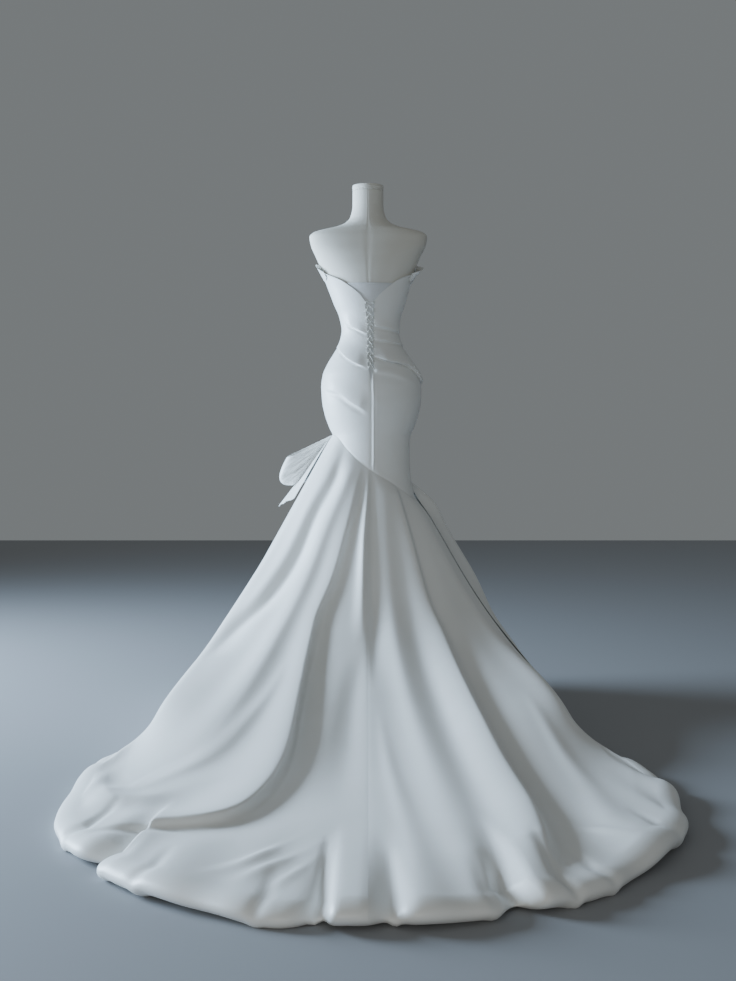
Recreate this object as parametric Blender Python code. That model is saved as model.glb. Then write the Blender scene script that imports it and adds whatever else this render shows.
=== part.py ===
"""A strapless mermaid wedding dress with a train, worn by a limbless dress form.

The back faces -Y, the train trails towards -Y, and the wearer's left is at -X.
An azimuth is 0 degrees at the centre back, 90 at +X and 180 at the centre front.
"""

import bmesh
import bpy
import numpy as np

# Cloth and gaps, in metres
WALL = 0.002
PANEL_WALL = 0.0012
SEAM_GAP = 0.0006
LAYER_GAP = 0.0016
BODICE_GAP = 0.0013
MODESTY_OUTER = LAYER_GAP + PANEL_WALL
BODICE_OUTER = MODESTY_OUTER + BODICE_GAP + WALL

# The form: height, half width, depth to the back, depth to the front, shift to +X, squareness
FORM_ROWS = (
    (0.640, 0.1440, 0.124, 0.116, 0.010, 2.0),
    (0.700, 0.1310, 0.110, 0.102, 0.010, 2.0),
    (0.760, 0.1220, 0.101, 0.094, 0.011, 2.0),
    (0.795, 0.1190, 0.099, 0.091, 0.012, 2.0),
    (0.830, 0.1185, 0.099, 0.090, 0.012, 2.0),
    (0.870, 0.1210, 0.103, 0.092, 0.012, 2.0),
    (0.905, 0.1350, 0.110, 0.095, 0.012, 2.0),
    (0.944, 0.1480, 0.120, 0.097, 0.012, 2.0),
    (0.990, 0.1565, 0.128, 0.098, 0.012, 2.0),
    (1.030, 0.1580, 0.130, 0.097, 0.011, 2.0),
    (1.069, 0.1525, 0.124, 0.094, 0.010, 2.0),
    (1.111, 0.1335, 0.108, 0.089, 0.009, 2.0),
    (1.138, 0.1160, 0.095, 0.084, 0.008, 2.0),
    (1.180, 0.0935, 0.079, 0.078, 0.008, 2.0),
    (1.216, 0.0880, 0.073, 0.078, 0.008, 2.0),
    (1.259, 0.0945, 0.076, 0.087, 0.007, 2.0),
    (1.302, 0.1105, 0.084, 0.104, 0.005, 2.0),
    (1.341, 0.1235, 0.090, 0.124, 0.003, 2.0),
    (1.384, 0.1385, 0.096, 0.134, 0.001, 2.1),
    (1.416, 0.1530, 0.098, 0.129, 0.000, 2.2),
    (1.455, 0.1700, 0.094, 0.108, 0.000, 2.4),
    (1.495, 0.1880, 0.082, 0.082, 0.001, 2.6),
    (1.521, 0.1920, 0.074, 0.066, 0.001, 2.6),
    (1.535, 0.1780, 0.068, 0.060, 0.001, 2.5),
    (1.543, 0.1500, 0.065, 0.057, 0.001, 2.4),
    (1.553, 0.1050, 0.061, 0.054, 0.000, 2.2),
    (1.566, 0.0750, 0.057, 0.052, 0.000, 2.1),
    (1.584, 0.0585, 0.053, 0.051, 0.000, 2.0),
    (1.620, 0.0505, 0.049, 0.049, 0.000, 2.0),
    (1.670, 0.0500, 0.048, 0.048, 0.000, 2.0),
)
FORM_FOOT = 0.795
FORM_TOP = 1.670
FORM_COLUMNS = 32
RING_STEP = 0.032
CAP_RADIUS = 0.0505
CAP_HEIGHT = 0.018
POLE_RADIUS = 0.0125
BASE_RADIUS = 0.18
BASE_HEIGHT = 0.012
TOUCH = 0.0003
DISC_SIDES = 28
CAP_BEVEL = 0.004
BASE_BEVEL = 0.003
MERGE = 0.00001

# The bodice's upper edge: azimuth, height on the left, height on the right
NECK_ROWS = (
    (0, 1.305, 1.303),
    (8, 1.326, 1.322),
    (25, 1.356, 1.352),
    (36, 1.372, 1.370),
    (55, 1.389, 1.388),
    (90, 1.411, 1.402),
    (130, 1.415, 1.415),
    (160, 1.404, 1.404),
    (180, 1.390, 1.390),
)

# The slanting seam where the sheath meets the skirt: azimuth, height
SEAM_ROWS = (
    (-180, 0.840),
    (-140, 0.868),
    (-100, 0.876),
    (-75, 0.875),
    (-60, 0.864),
    (-40, 0.827),
    (-16, 0.783),
    (4, 0.753),
    (25, 0.726),
    (47, 0.696),
    (75, 0.667),
    (92, 0.663),
    (115, 0.715),
    (150, 0.790),
    (180, 0.840),
)

# The lacing gap: height, half width
GAP_ROWS = (
    (0.640, 0.0003),
    (1.036, 0.0003),
    (1.062, 0.0040),
    (1.095, 0.0100),
    (1.180, 0.0100),
    (1.235, 0.0108),
    (1.310, 0.0160),
    (1.450, 0.0160),
)
SIDE_SEAM = 88
SIDE_GAP = 0.15
HEIGHT_STEPS = (0.25, -0.002)
MODESTY_REACH = 43
MODESTY_TOP = 1.362
MODESTY_FOOT = 1.000
MODESTY_GRID = (10, 13)
BODICE_COLUMNS = 12
FRONT_COLUMNS = 18
BODICE_ROWS = 26
# How far round the two sides' tables blend at the centre lines, in degrees
NECK_BLEND = 8
# Where the bodice's folds begin: distance from the centre back, from its edge and from the seam
FOLD_FREE = 0.02
EDGE_CALM = 0.02
SEAM_CALM = 0.03
# Share of a bodice fold over which it rises, where it ends, and over which it dies away
FOLD_ENDS = (0.25, 1.25, 0.5)

# Folds of the bodice and sheath: azimuth and height at the outer end and at the centre back,
# height of the fold, width of its steep lower side and of its soft upper side
BODICE_FOLDS = (
    (-46, 1.236, -8, 1.205, 0.0040, 0.014, 0.026),
    (-88, 1.168, -6, 1.098, 0.0080, 0.014, 0.034),
    (-70, 1.030, -5, 0.955, 0.0060, 0.014, 0.036),
    (62, 1.226, 9, 1.236, 0.0040, 0.014, 0.020),
    (80, 1.184, 9, 1.192, 0.0045, 0.014, 0.022),
    (112, 1.040, 14, 1.128, 0.0110, 0.013, 0.036),
    (150, 1.250, 215, 1.160, 0.0060, 0.014, 0.034),
    (145, 1.175, 225, 1.070, 0.0070, 0.014, 0.034),
    (130, 1.060, 230, 0.960, 0.0070, 0.014, 0.038),
)

# The skirt between its seam and its hem: run, half widths to the left and right, middle,
# back and front along Y, and the heights at the side, back and front
SKIRT_ROWS = (
    (0.10, 0.268, 0.204, -0.020, -0.215, 0.175, 0.604, 0.580, 0.600),
    (0.22, 0.368, 0.311, -0.120, -0.345, 0.250, 0.417, 0.405, 0.420),
    (0.36, 0.464, 0.426, -0.350, -0.600, 0.330, 0.248, 0.235, 0.250),
    (0.52, 0.540, 0.508, -0.750, -1.100, 0.405, 0.150, 0.100, 0.110),
)
LYING_RUN = 0.72
LYING_SHARE = 0.55
LYING_HEIGHT = 0.040
LYING_REACH = 0.30
HEM_RUN = 0.90

# The hem on the floor: azimuth, then X and Y on the left and on the right
HEM_ROWS = (
    (0, 0.000, -2.260, 0.000, -2.260),
    (4, -0.062, -2.259, 0.068, -2.259),
    (14, -0.210, -2.225, 0.230, -2.215),
    (28, -0.405, -2.095, 0.445, -2.065),
    (42, -0.565, -1.880, 0.595, -1.850),
    (55, -0.674, -1.600, 0.694, -1.590),
    (66, -0.702, -1.340, 0.718, -1.340),
    (75, -0.690, -1.130, 0.690, -1.150),
    (84, -0.645, -0.960, 0.625, -0.980),
    (93, -0.612, -0.780, 0.590, -0.800),
    (103, -0.590, -0.540, 0.568, -0.560),
    (118, -0.555, -0.200, 0.540, -0.200),
    (133, -0.490, 0.060, 0.480, 0.060),
    (150, -0.350, 0.300, 0.350, 0.300),
    (165, -0.180, 0.420, 0.180, 0.420),
    (175, -0.062, 0.457, 0.062, 0.457),
    (180, 0.000, 0.460, 0.000, 0.460),
)
HEM_PUFF = 0.050
HEM_ROLL = 0.028
HEM_TURN = 0.03
# Share of the hem's rows that rolls, before the cloth goes back under
ROLL_SHARE = 0.75
SKIRT_SIDE = 112
SIDE_PACE = 0.3
HANGING_RUNS = 12
ROLL_RUNS = 4
BACK_COLUMNS = 29
SKIRT_FRONT_COLUMNS = 24

# Lines that the skirt's folds follow, seen from above, from the seam to the hem
LEFT_OUTER = ((-0.077, -0.087), (-0.17, -0.15), (-0.31, -0.285), (-0.47, -0.54))
LEFT_PANEL = ((-0.060, -0.110), (-0.15, -0.22), (-0.27, -0.50), (-0.36, -0.95), (-0.45, -1.40))
DEEP_EDGE = (
    (-0.020, -0.139),
    (-0.070, -0.200),
    (-0.125, -0.50),
    (-0.175, -0.79),
    (-0.205, -1.35),
    (-0.260, -1.64),
    (-0.350, -1.73),
    (-0.600, -1.80),
)
DEEP_VALLEY = (
    (-0.020, -0.139),
    (-0.070, -0.200),
    (-0.120, -0.50),
    (-0.165, -0.79),
    (-0.190, -1.35),
    (-0.235, -1.66),
    (-0.340, -1.76),
)
CENTRE_RIDGE = ((-0.001, -0.132), (-0.012, -0.25), (-0.020, -0.54))
CENTRE_VALLEY = ((-0.020, -0.56), (-0.045, -0.85), (-0.060, -1.20), (-0.070, -1.65))
RIGHT_SOFT = ((0.060, -0.125), (0.070, -0.30), (0.100, -0.65), (0.179, -1.50), (0.205, -2.10))
RIGHT_VALLEY = ((0.086, -0.110), (0.136, -0.24), (0.150, -0.50), (0.230, -1.20), (0.270, -2.00))
RIGHT_RIDGE = (
    (0.105, -0.090),
    (0.190, -0.36),
    (0.245, -0.75),
    (0.300, -1.25),
    (0.336, -1.75),
    (0.336, -2.12),
)
RIGHT_OUTER = ((0.125, -0.040), (0.300, -0.25), (0.420, -0.50), (0.560, -0.95), (0.640, -1.40))
LEFT_SIDE = ((-0.120, -0.020), (-0.300, -0.12), (-0.460, -0.32), (-0.620, -1.00))
FRONT_RIGHT = ((0.050, 0.110), (0.090, 0.24), (0.130, 0.42))
FRONT_VALLEY = ((0.000, 0.110), (0.010, 0.24), (0.020, 0.45))
FRONT_LEFT = ((-0.050, 0.110), (-0.120, 0.22), (-0.190, 0.39))
FRONT_FAR_LEFT = ((-0.100, 0.060), (-0.240, 0.14), (-0.440, 0.16))
FRONT_FAR_RIGHT = ((0.100, 0.060), (0.220, 0.14), (0.420, 0.18))

# Folds of the skirt: lift at the seam, in the middle and at the hem, and reach on the -X side
# and on the +X side of the line
SKIRT_FOLDS = (
    (-0.004, -0.016, 0.000, 0.035, 0.050, LEFT_OUTER),
    (0.006, 0.016, 0.000, 0.060, 0.040, LEFT_PANEL),
    (0.003, 0.028, 0.020, 0.150, 0.020, DEEP_EDGE),
    (-0.005, -0.018, -0.004, 0.020, 0.060, DEEP_VALLEY),
    (0.004, 0.012, 0.000, 0.022, 0.020, CENTRE_RIDGE),
    (0.000, -0.022, 0.000, 0.045, 0.030, CENTRE_VALLEY),
    (0.003, 0.010, 0.006, 0.050, 0.050, RIGHT_SOFT),
    (-0.004, -0.008, -0.004, 0.030, 0.030, RIGHT_VALLEY),
    (0.004, 0.028, 0.026, 0.060, 0.030, RIGHT_RIDGE),
    (0.002, 0.012, 0.004, 0.050, 0.040, RIGHT_OUTER),
    (0.002, 0.012, 0.006, 0.050, 0.040, LEFT_SIDE),
    (0.004, 0.018, 0.010, 0.035, 0.045, FRONT_RIGHT),
    (-0.004, -0.014, -0.006, 0.035, 0.035, FRONT_VALLEY),
    (0.004, 0.020, 0.010, 0.040, 0.035, FRONT_LEFT),
    (0.004, 0.018, 0.010, 0.040, 0.040, FRONT_FAR_LEFT),
    (-0.004, -0.012, -0.006, 0.035, 0.035, FRONT_FAR_RIGHT),
)
FOLD_SPREAD = (0.5, 0.9)
# Share along a fold's line that its middle lift belongs to
FOLD_MIDDLE = 0.45
# Run over which the folds begin below the seam, and over which they end before the hem's roll
FOLD_BEGIN = 0.03
FOLD_FADE = 0.10
FOLD_PAST = 0.02
# Steps in azimuth and run that a surface's slope is read over, and the first run it is read at
SLOPE_STEPS = (0.25, 0.004)
FIRST_SLOPE = 0.01

# Where the hem is drawn in: azimuth, depth, reach in degrees
HEM_TUCKS = (
    (-41, 0.060, 2.5),
    (-20, 0.012, 4.0),
    (-5.8, 0.045, 1.4),
    (3.2, 0.040, 1.5),
    (11, 0.012, 3.0),
    (21, 0.055, 2.0),
    (34, 0.015, 4.0),
    (-64, 0.020, 5.0),
    (58, 0.015, 5.0),
    (150, 0.020, 6.0),
    (-150, 0.020, 6.0),
)

# The loose drape at the right side: run, azimuth of its free edge, how far it stands off
DRAPE_ROWS = (
    (0.00, 124, 0.000),
    (0.03, 114, 0.022),
    (0.10, 101, 0.052),
    (0.22, 99, 0.046),
    (0.36, 98, 0.022),
    (0.52, 98, 0.004),
    (0.70, 99, 0.000),
    (0.88, 100, 0.000),
)
DRAPE_END = 158
DRAPE_SEAM = 0.0025
DRAPE_CLEAR = 0.010
DRAPE_RUNS = (0.001, 0.701)
DRAPE_GRID = (12, 11)
DRAPE_RIPPLE = 0.008
DRAPE_WAVE = 34
DRAPE_LOOSE = 0.03
DRAPE_CURVE = 1.6

# The folded neckline: azimuth, foot and top below and above the bodice's edge, flare
PETAL_ROWS = (
    (66, -0.014, 0.004, 0.003),
    (74, -0.028, 0.010, 0.024),
    (84, -0.032, 0.018, 0.018),
    (100, -0.034, 0.022, 0.006),
    (130, -0.032, 0.024, 0.010),
    (165, -0.030, 0.022, 0.012),
    (180, -0.030, 0.018, 0.010),
)
PETAL_CLEAR = 0.0030
PETAL_LEFT = 0.3
PETAL_CURVE = 1.5
PETAL_RIPPLE = 0.002
PETAL_WAVE = 9
PETAL_SPANS = (("neckline_right", 66.0, 179.8), ("neckline_left", 180.2, 294.0))
PETAL_GRID = (14, 3)

# The bow's knot: azimuth, height, and half sizes outward, across and upward
KNOT_AZIMUTH = -128
KNOT_HEIGHT = 0.872
KNOT_SIZE = (0.015, 0.016, 0.018)
KNOT_CLEAR = 0.0021
# The bow's loops: name, direction it hangs in, direction from one layer to the other,
# where it starts, length and half width
BOW_LOOPS = (
    ("bow_loop_side", (-0.80, -0.10, -0.63), (-0.35, 0.80, 0.45), 0.0152, 0.236, 0.042),
    ("bow_loop_front", (0.50, 0.84, -0.12), (0.85, -0.50, 0.15), 0.0144, 0.200, 0.046),
)
LOOP_OPEN = 5
LOOP_NECK = 0.013
LOOP_BELLY = 0.018
LOOP_APART = 0.003
LOOP_PLEAT = 0.0035
LOOP_WAVE = 9
LOOP_TIP = 0.30
LOOP_SWELL = 1.2
LOOP_PLAIN = 0.6
LOOP_FLAT = 0.3
LOOP_STEPS = (0.02, 0.004)
LOOP_GRID = (6, 15)
# The bow's tails: name, azimuth at the knot and at the end, run at the end, half spread,
# and how far they stand off at the knot and at the end
BOW_TAILS = (
    ("bow_tail_side", -99, -98, 0.092, 11, 0.0022, 0.038),
    ("bow_tail_front", -142, -150, 0.230, 16, 0.0027, 0.018),
)
TAIL_START = 0.001
TAIL_LIFT = 0.85
TAIL_SLANT = 0.25
TAIL_NECK = 0.45
TAIL_SLOPE_END = 0.5
TAIL_GRID = (6, 8)

# Lacing
LACE_TOP = 1.298
LACE_FOOT = 1.088
LACE_CROSSINGS = 9
CORD = 0.0018
# One loop along the gap's edge: distance beyond the edge, height, and lift off the cloth
LOOP_SHAPE = (
    (0.0030, 0.0045, -0.0007),
    (-0.0025, 0.0036, 0),
    (-0.0042, 0, 0),
    (-0.0025, -0.0036, 0),
    (0.0030, -0.0045, -0.0007),
)
LACE_HOLE = 0.0012
LACE_CROWN = 0.0048
LACE_SLIP = 0.12
LACE_PASS = 0.0014
LACE_RISE = 0.001
LACE_BEND = 0.004
UNDER_LEVEL = MODESTY_OUTER + 0.0018
LOOP_LEVEL = BODICE_OUTER + 0.0025
OVER_LEVEL = LOOP_LEVEL + 0.0034


def smooth_read(keys, values, key):
    """Read a smooth curve through a table's rows, with no overshoot between them."""
    keys = np.asarray(keys, float)
    values = np.asarray(values, float)
    key = np.clip(key, keys[0], keys[-1])
    step = np.diff(keys).reshape([-1] + [1] * (values.ndim - 1))
    rise = np.diff(values, axis=0) / step
    same = rise[:-1] * rise[1:] > 0
    total = np.where(same, rise[:-1] + rise[1:], 1)
    middle = np.where(same, 2 * rise[:-1] * rise[1:] / total, 0)
    slope = np.concatenate([rise[:1], middle, rise[-1:]])
    span = np.clip(np.searchsorted(keys, key, side="right") - 1, 0, len(keys) - 2)
    width = (keys[span + 1] - keys[span])[:, None]
    part = (key - keys[span])[:, None] / width
    at = (span,) if values.ndim == 2 else (span, np.arange(len(key)))
    after = (span + 1,) + at[1:]
    bend = part * part * (3 - 2 * part)
    out = values[at] * (1 - bend) + values[after] * bend
    out += slope[at] * width * part * (1 - part) ** 2
    return out - slope[after] * width * part * part * (1 - part)


def wrapped(azimuth):
    """Bring azimuths to -180 to 180 degrees."""
    return (np.asarray(azimuth, float) + 180) % 360 - 180


def neck_height(azimuth):
    """Height of the bodice's upper edge."""
    rows = np.array(NECK_ROWS)
    azimuth = wrapped(azimuth)
    both = smooth_read(rows[:, 0], rows[:, 1:], np.abs(azimuth))
    right = np.clip(azimuth / NECK_BLEND + 0.5, 0, 1)
    far = np.clip((180 - np.abs(azimuth)) / NECK_BLEND, 0, 1)
    right = right * far + 0.5 * (1 - far)
    return both[:, 0] * (1 - right) + both[:, 1] * right


def seam_height(azimuth):
    """Height of the seam between the sheath and the skirt."""
    rows = np.array(SEAM_ROWS)
    return smooth_read(rows[:, 0], rows[:, 1:], wrapped(azimuth))[:, 0]


def gap_half_width(height):
    """Half of the lacing gap's width."""
    rows = np.array(GAP_ROWS)
    return smooth_read(rows[:, 0], rows[:, 1:], height)[:, 0]


def body_point(azimuth, height, outward=0.0):
    """A point on the form's surface, moved outward."""
    rows = np.array(FORM_ROWS)
    half, back, front, shift, square = smooth_read(rows[:, 0], rows[:, 1:], height).T
    angle = np.radians(azimuth)
    across, along = np.sin(angle), np.cos(angle)
    depth = np.where(along > 0, back, front)
    x = np.sign(across) * np.abs(across) ** (2 / square) * (half + outward) + shift
    y = -np.sign(along) * np.abs(along) ** (2 / square) * (depth + outward)
    return np.stack([x, y, height], axis=1)


def back_azimuth(across, height):
    """The azimuth of a point at this distance from the centre back line."""
    rows = np.array(FORM_ROWS)
    half = smooth_read(rows[:, 0], rows[:, 1:2], height)[:, 0]
    return np.degrees(np.arcsin(across / (half + BODICE_OUTER)))


def bodice_fold(azimuth, height):
    """How far the draped folds lift the bodice's cloth."""
    lift = np.zeros(len(azimuth))
    rise, end, fade = FOLD_ENDS
    for az_out, z_out, az_in, z_in, high, steep, soft in BODICE_FOLDS:
        turn = az_in + wrapped(azimuth - az_in)
        part = (turn - az_in) / (az_out - az_in)
        line = z_in + (z_out - z_in) * part
        below = height - line
        side = np.where(below < 0, np.exp(-((below / steep) ** 2)), np.exp(-((below / soft) ** 2)))
        ends = np.clip(part / rise, 0, 1) * np.clip((end - part) / fade, 0, 1)
        lift += high * side * ends
    return lift


def bodice_point(azimuth, height):
    """A point on the outer face of the bodice and sheath."""
    across = np.abs(body_point(azimuth, height)[:, 0])
    edge = np.clip((across - FOLD_FREE) / FOLD_FREE, 0, 1)
    edges = np.clip((neck_height(azimuth) - height) / EDGE_CALM, 0, 1)
    edges = edges * np.clip((height - seam_height(azimuth)) / SEAM_CALM, 0, 1)
    lift = bodice_fold(azimuth, height) * edges * np.where(np.cos(np.radians(azimuth)) > 0, edge, 1)
    return body_point(azimuth, height, BODICE_OUTER + lift)


def hem_plan(azimuth):
    """The hem's outermost place on the floor."""
    rows = np.array(HEM_ROWS)
    azimuth = wrapped(azimuth)
    both = smooth_read(rows[:, 0], rows[:, 1:], np.abs(azimuth))
    return np.where(azimuth[:, None] < 0, both[:, :2], both[:, 2:])


def hem_inward(azimuth):
    """The level direction from the hem into the skirt."""
    along = hem_plan(azimuth + 1) - hem_plan(azimuth - 1)
    inward = np.stack([-along[:, 1], along[:, 0]], axis=1)
    return inward / np.linalg.norm(inward, axis=1)[:, None]


def skirt_base(azimuth, run):
    """The skirt without its folds, from the seam (run 0) to the turned-under hem (run 1)."""
    azimuth = wrapped(azimuth)
    angle = np.radians(azimuth)
    across, along = np.sin(angle), np.cos(angle)
    seam = body_point(azimuth, seam_height(azimuth) - SEAM_GAP, BODICE_OUTER)
    knots, keys = [seam], [0.0]
    for key, left, right, middle, back, front, side_z, back_z, front_z in SKIRT_ROWS:
        width = np.where(across < 0, left, right)
        end = np.where(along > 0, back, front)
        height = side_z * across**2 + np.where(along > 0, back_z, front_z) * along**2
        x = width * across
        y = middle + (end - middle) * np.abs(along)
        knots.append(np.stack([x, y, height], axis=1))
        keys.append(key)
    hem = hem_plan(azimuth)
    inward = hem_inward(azimuth)
    top = hem + inward * HEM_ROLL
    ring = knots[-1]
    lying = ring[:, :2] * (1 - LYING_SHARE) + top * LYING_SHARE
    near = np.exp(-((np.linalg.norm(top - ring[:, :2], axis=1) / LYING_REACH) ** 2))
    height = LYING_HEIGHT * (1 - near) + (ring[:, 2] + HEM_PUFF) / 2 * near
    knots.append(np.column_stack([lying, height]))
    keys.append(LYING_RUN)
    knots.append(np.column_stack([top, np.full(len(azimuth), HEM_PUFF)]))
    keys.append(HEM_RUN)
    upper = smooth_read(keys, knots, run)
    # The last stretch rolls over, down to the floor, and back under.
    roll = np.clip((run - HEM_RUN) / (1 - HEM_RUN), 0, 1)
    turn = np.radians(90 - 180 * np.clip(roll / ROLL_SHARE, 0, 1))
    under = np.clip((roll - ROLL_SHARE) / (1 - ROLL_SHARE), 0, 1)
    inset = HEM_ROLL * (1 - np.cos(turn)) + HEM_TURN * under
    rolled = np.column_stack([hem + inward * inset[:, None], HEM_PUFF / 2 * (1 + np.sin(turn))])
    return np.where((run > HEM_RUN)[:, None], rolled, upper)


def line_distance(line, x, y):
    """Distance to a line seen from above, which side of it (-1 to 1), and the share along it."""
    line = np.array(line)
    lengths = np.linalg.norm(np.diff(line, axis=0), axis=1)
    begun = np.concatenate([[0], np.cumsum(lengths)])
    best = np.full(len(x), 9.0)
    side = np.zeros(len(x))
    share = np.zeros(len(x))
    for k, (start, end) in enumerate(zip(line, line[1:])):
        along = (end - start) / lengths[k]
        dx, dy = x - start[0], y - start[1]
        on = np.clip(dx * along[0] + dy * along[1], 0, lengths[k])
        off = np.hypot(dx - on * along[0], dy - on * along[1])
        nearer = off < best
        best = np.where(nearer, off, best)
        turned = (along[0] * dy - along[1] * dx) / np.maximum(off, 1e-9)
        side = np.where(nearer, np.clip(turned, -1, 1), side)
        share = np.where(nearer, (begun[k] + on) / begun[-1], share)
    return best, side, share


def skirt_fold(points):
    """How far the skirt's folds lift its cloth."""
    lift = np.zeros(len(points))
    for top, middle, hem, left, right, line in SKIRT_FOLDS:
        off, side, share = line_distance(line, points[:, 0], points[:, 1])
        reach = (left + (right - left) * (side + 1) / 2) * (FOLD_SPREAD[0] + FOLD_SPREAD[1] * share)
        high = smooth_read((0, FOLD_MIDDLE, 1), ((top,), (middle,), (hem,)), share)[:, 0]
        lift += high * np.exp(-((off / reach) ** 2))
    return lift


def hem_tuck(azimuth):
    """How far the hem is drawn in."""
    azimuth = wrapped(azimuth)
    depth = np.zeros(len(azimuth))
    for place, deep, reach in HEM_TUCKS:
        depth += deep * np.exp(-((wrapped(azimuth - place) / reach) ** 2))
    return depth


def skirt_point(azimuth, run):
    """A point on the skirt's outer face."""
    base = skirt_base(azimuth, run)
    shown = np.clip(run / FOLD_BEGIN, 0, 1)
    shown = shown * np.clip((HEM_RUN + FOLD_PAST - run) / FOLD_FADE, 0, 1)
    out = facing(skirt_base, azimuth, np.clip(run, FIRST_SLOPE, HEM_RUN - FOLD_PAST))
    point = base + out * (skirt_fold(base) * shown)[:, None]
    low = np.clip((run - LYING_RUN) / (HEM_RUN - LYING_RUN), 0, 1)
    drawn = hem_tuck(azimuth) * low**2
    point[:, :2] += hem_inward(azimuth) * drawn[:, None]
    return point


def facing(surface, first, second, steps=SLOPE_STEPS):
    """Unit normals of a surface of two coordinates, the second of which runs down."""
    step_a, step_b = steps
    along = surface(first + step_a, second) - surface(first - step_a, second)
    down = surface(first, second + step_b) - surface(first, second - step_b)
    normal = np.cross(down, along)
    return normal / np.linalg.norm(normal, axis=1)[:, None]


def material(name, colour, roughness):
    """A plain material."""
    made = bpy.data.materials.new(name)
    made.use_nodes = True
    shader = made.node_tree.nodes["Principled BSDF"]
    shader.inputs["Base Color"].default_value = (*colour, 1)
    shader.inputs["Roughness"].default_value = roughness
    shader.inputs["Metallic"].default_value = 0.0
    return made


def add_object(name, bm, finish, smooth=True):
    """Make an object from a bmesh."""
    mesh = bpy.data.meshes.new(name)
    bm.to_mesh(mesh)
    bm.free()
    if smooth:
        mesh.shade_smooth()
    mesh.materials.append(finish)
    made = bpy.data.objects.new(name, mesh)
    bpy.context.collection.objects.link(made)
    return made


def wall(name, columns, rows, domain, surface, thick, finish, steps=SLOPE_STEPS):
    """A cloth wall: a grid laid on a surface, a second face inside it, and rims between."""
    bm = bmesh.new()
    bmesh.ops.create_grid(bm, x_segments=columns, y_segments=rows, size=0.5)
    outer = list(bm.verts)
    flat = np.array([v.co[:2] for v in outer]) + 0.5
    first, second = domain(flat[:, 0], 1 - flat[:, 1])
    points = surface(first, second)
    inside = points - facing(surface, first, second, steps) * thick
    for vert, point in zip(outer, points):
        vert.co = point
    # Both faces of the cloth are split along the same diagonals, so that they stay apart.
    bmesh.ops.triangulate(bm, faces=bm.faces, quad_method="BEAUTY")
    copies = [bm.verts.new(p) for p in inside]
    faces = list(bm.faces)
    rims = [edge.link_loops[0] for edge in bm.edges if edge.is_boundary]
    rims = [(loop.vert, loop.link_loop_next.vert) for loop in rims]
    pair = dict(zip(outer, copies))
    for face in faces:
        bm.faces.new([pair[v] for v in reversed(face.verts)])
    for start, end in rims:
        bm.faces.new((end, start, pair[start], pair[end]))
    return add_object(name, bm, finish)


def make_form(fabric, metal_pole, metal):
    """The limbless form, its neck cap, its pole and its base plate."""
    heights = [row[0] for row in FORM_ROWS if row[0] >= FORM_FOOT]
    rings = []
    for low, high in zip(heights, heights[1:]):
        parts = max(1, round((high - low) / RING_STEP))
        rings += [low + (high - low) * k / parts for k in range(parts)]
    rings.append(heights[-1])
    bm = bmesh.new()
    bmesh.ops.create_grid(bm, x_segments=FORM_COLUMNS, y_segments=len(rings) - 1, size=0.5)
    flat = np.array([v.co[:2] for v in bm.verts]) + 0.5
    azimuth = flat[:, 0] * 360
    height = np.array(rings)[np.round(flat[:, 1] * (len(rings) - 1)).astype(int)]
    for vert, point in zip(bm.verts, body_point(azimuth, height)):
        vert.co = point
    bmesh.ops.remove_doubles(bm, verts=bm.verts, dist=MERGE)
    bmesh.ops.holes_fill(bm, edges=bm.edges, sides=0)
    bmesh.ops.recalc_face_normals(bm, faces=bm.faces)
    add_object("form_torso", bm, fabric)
    make_disc("form_neck_cap", CAP_RADIUS, FORM_TOP + TOUCH, CAP_HEIGHT, CAP_BEVEL, fabric)
    make_disc("form_base", BASE_RADIUS, 0.0, BASE_HEIGHT, BASE_BEVEL, metal)
    low = BASE_HEIGHT + TOUCH
    make_disc("form_pole", POLE_RADIUS, low, FORM_FOOT - TOUCH - low, 0, metal_pole)


def make_disc(name, radius, low, height, bevel, finish):
    """A round plate or post on the form's axis."""
    bm = bmesh.new()
    bmesh.ops.create_cone(
        bm, cap_ends=True, segments=DISC_SIDES, radius1=radius, radius2=radius, depth=height
    )
    bmesh.ops.translate(bm, verts=bm.verts, vec=(0, 0, low + height / 2))
    if bevel:
        rim = [e for e in bm.edges if all(v.co.z > low + height - MERGE for v in e.verts)]
        bmesh.ops.bevel(
            bm, geom=rim, offset=bevel, segments=2, profile=0.5, affect="EDGES", material=-1
        )
    return add_object(name, bm, finish)


def make_bodice(satin):
    """The front and the two back panels of the bodice and sheath, and the modesty panel."""

    def between(start, end):
        def domain(u, t):
            azimuth = start + (end - start) * u
            height = neck_height(azimuth) * (1 - t) + (seam_height(azimuth) + SEAM_GAP / 2) * t
            half = back_azimuth(gap_half_width(height), height)
            if start == 0:
                azimuth = half + (end - half) * u
            if end == 0:
                azimuth = start + (-half - start) * u
            return azimuth, height

        return domain

    grids = (
        ("bodice_back_left", BODICE_COLUMNS, -SIDE_SEAM, 0),
        ("bodice_back_right", BODICE_COLUMNS, 0, SIDE_SEAM),
        ("bodice_front", FRONT_COLUMNS, SIDE_SEAM + SIDE_GAP, 360 - SIDE_SEAM - SIDE_GAP),
    )
    for name, columns, start, end in grids:
        wall(name, columns, BODICE_ROWS, between(start, end), bodice_point, WALL, satin, HEIGHT_STEPS)

    def modesty_domain(u, t):
        return MODESTY_REACH * (2 * u - 1) + 1, MODESTY_TOP * (1 - t) + MODESTY_FOOT * t

    def modesty_surface(azimuth, height):
        return body_point(azimuth, height, MODESTY_OUTER)

    wall(
        "modesty_panel",
        *MODESTY_GRID,
        modesty_domain,
        modesty_surface,
        PANEL_WALL,
        satin,
        HEIGHT_STEPS,
    )


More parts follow.
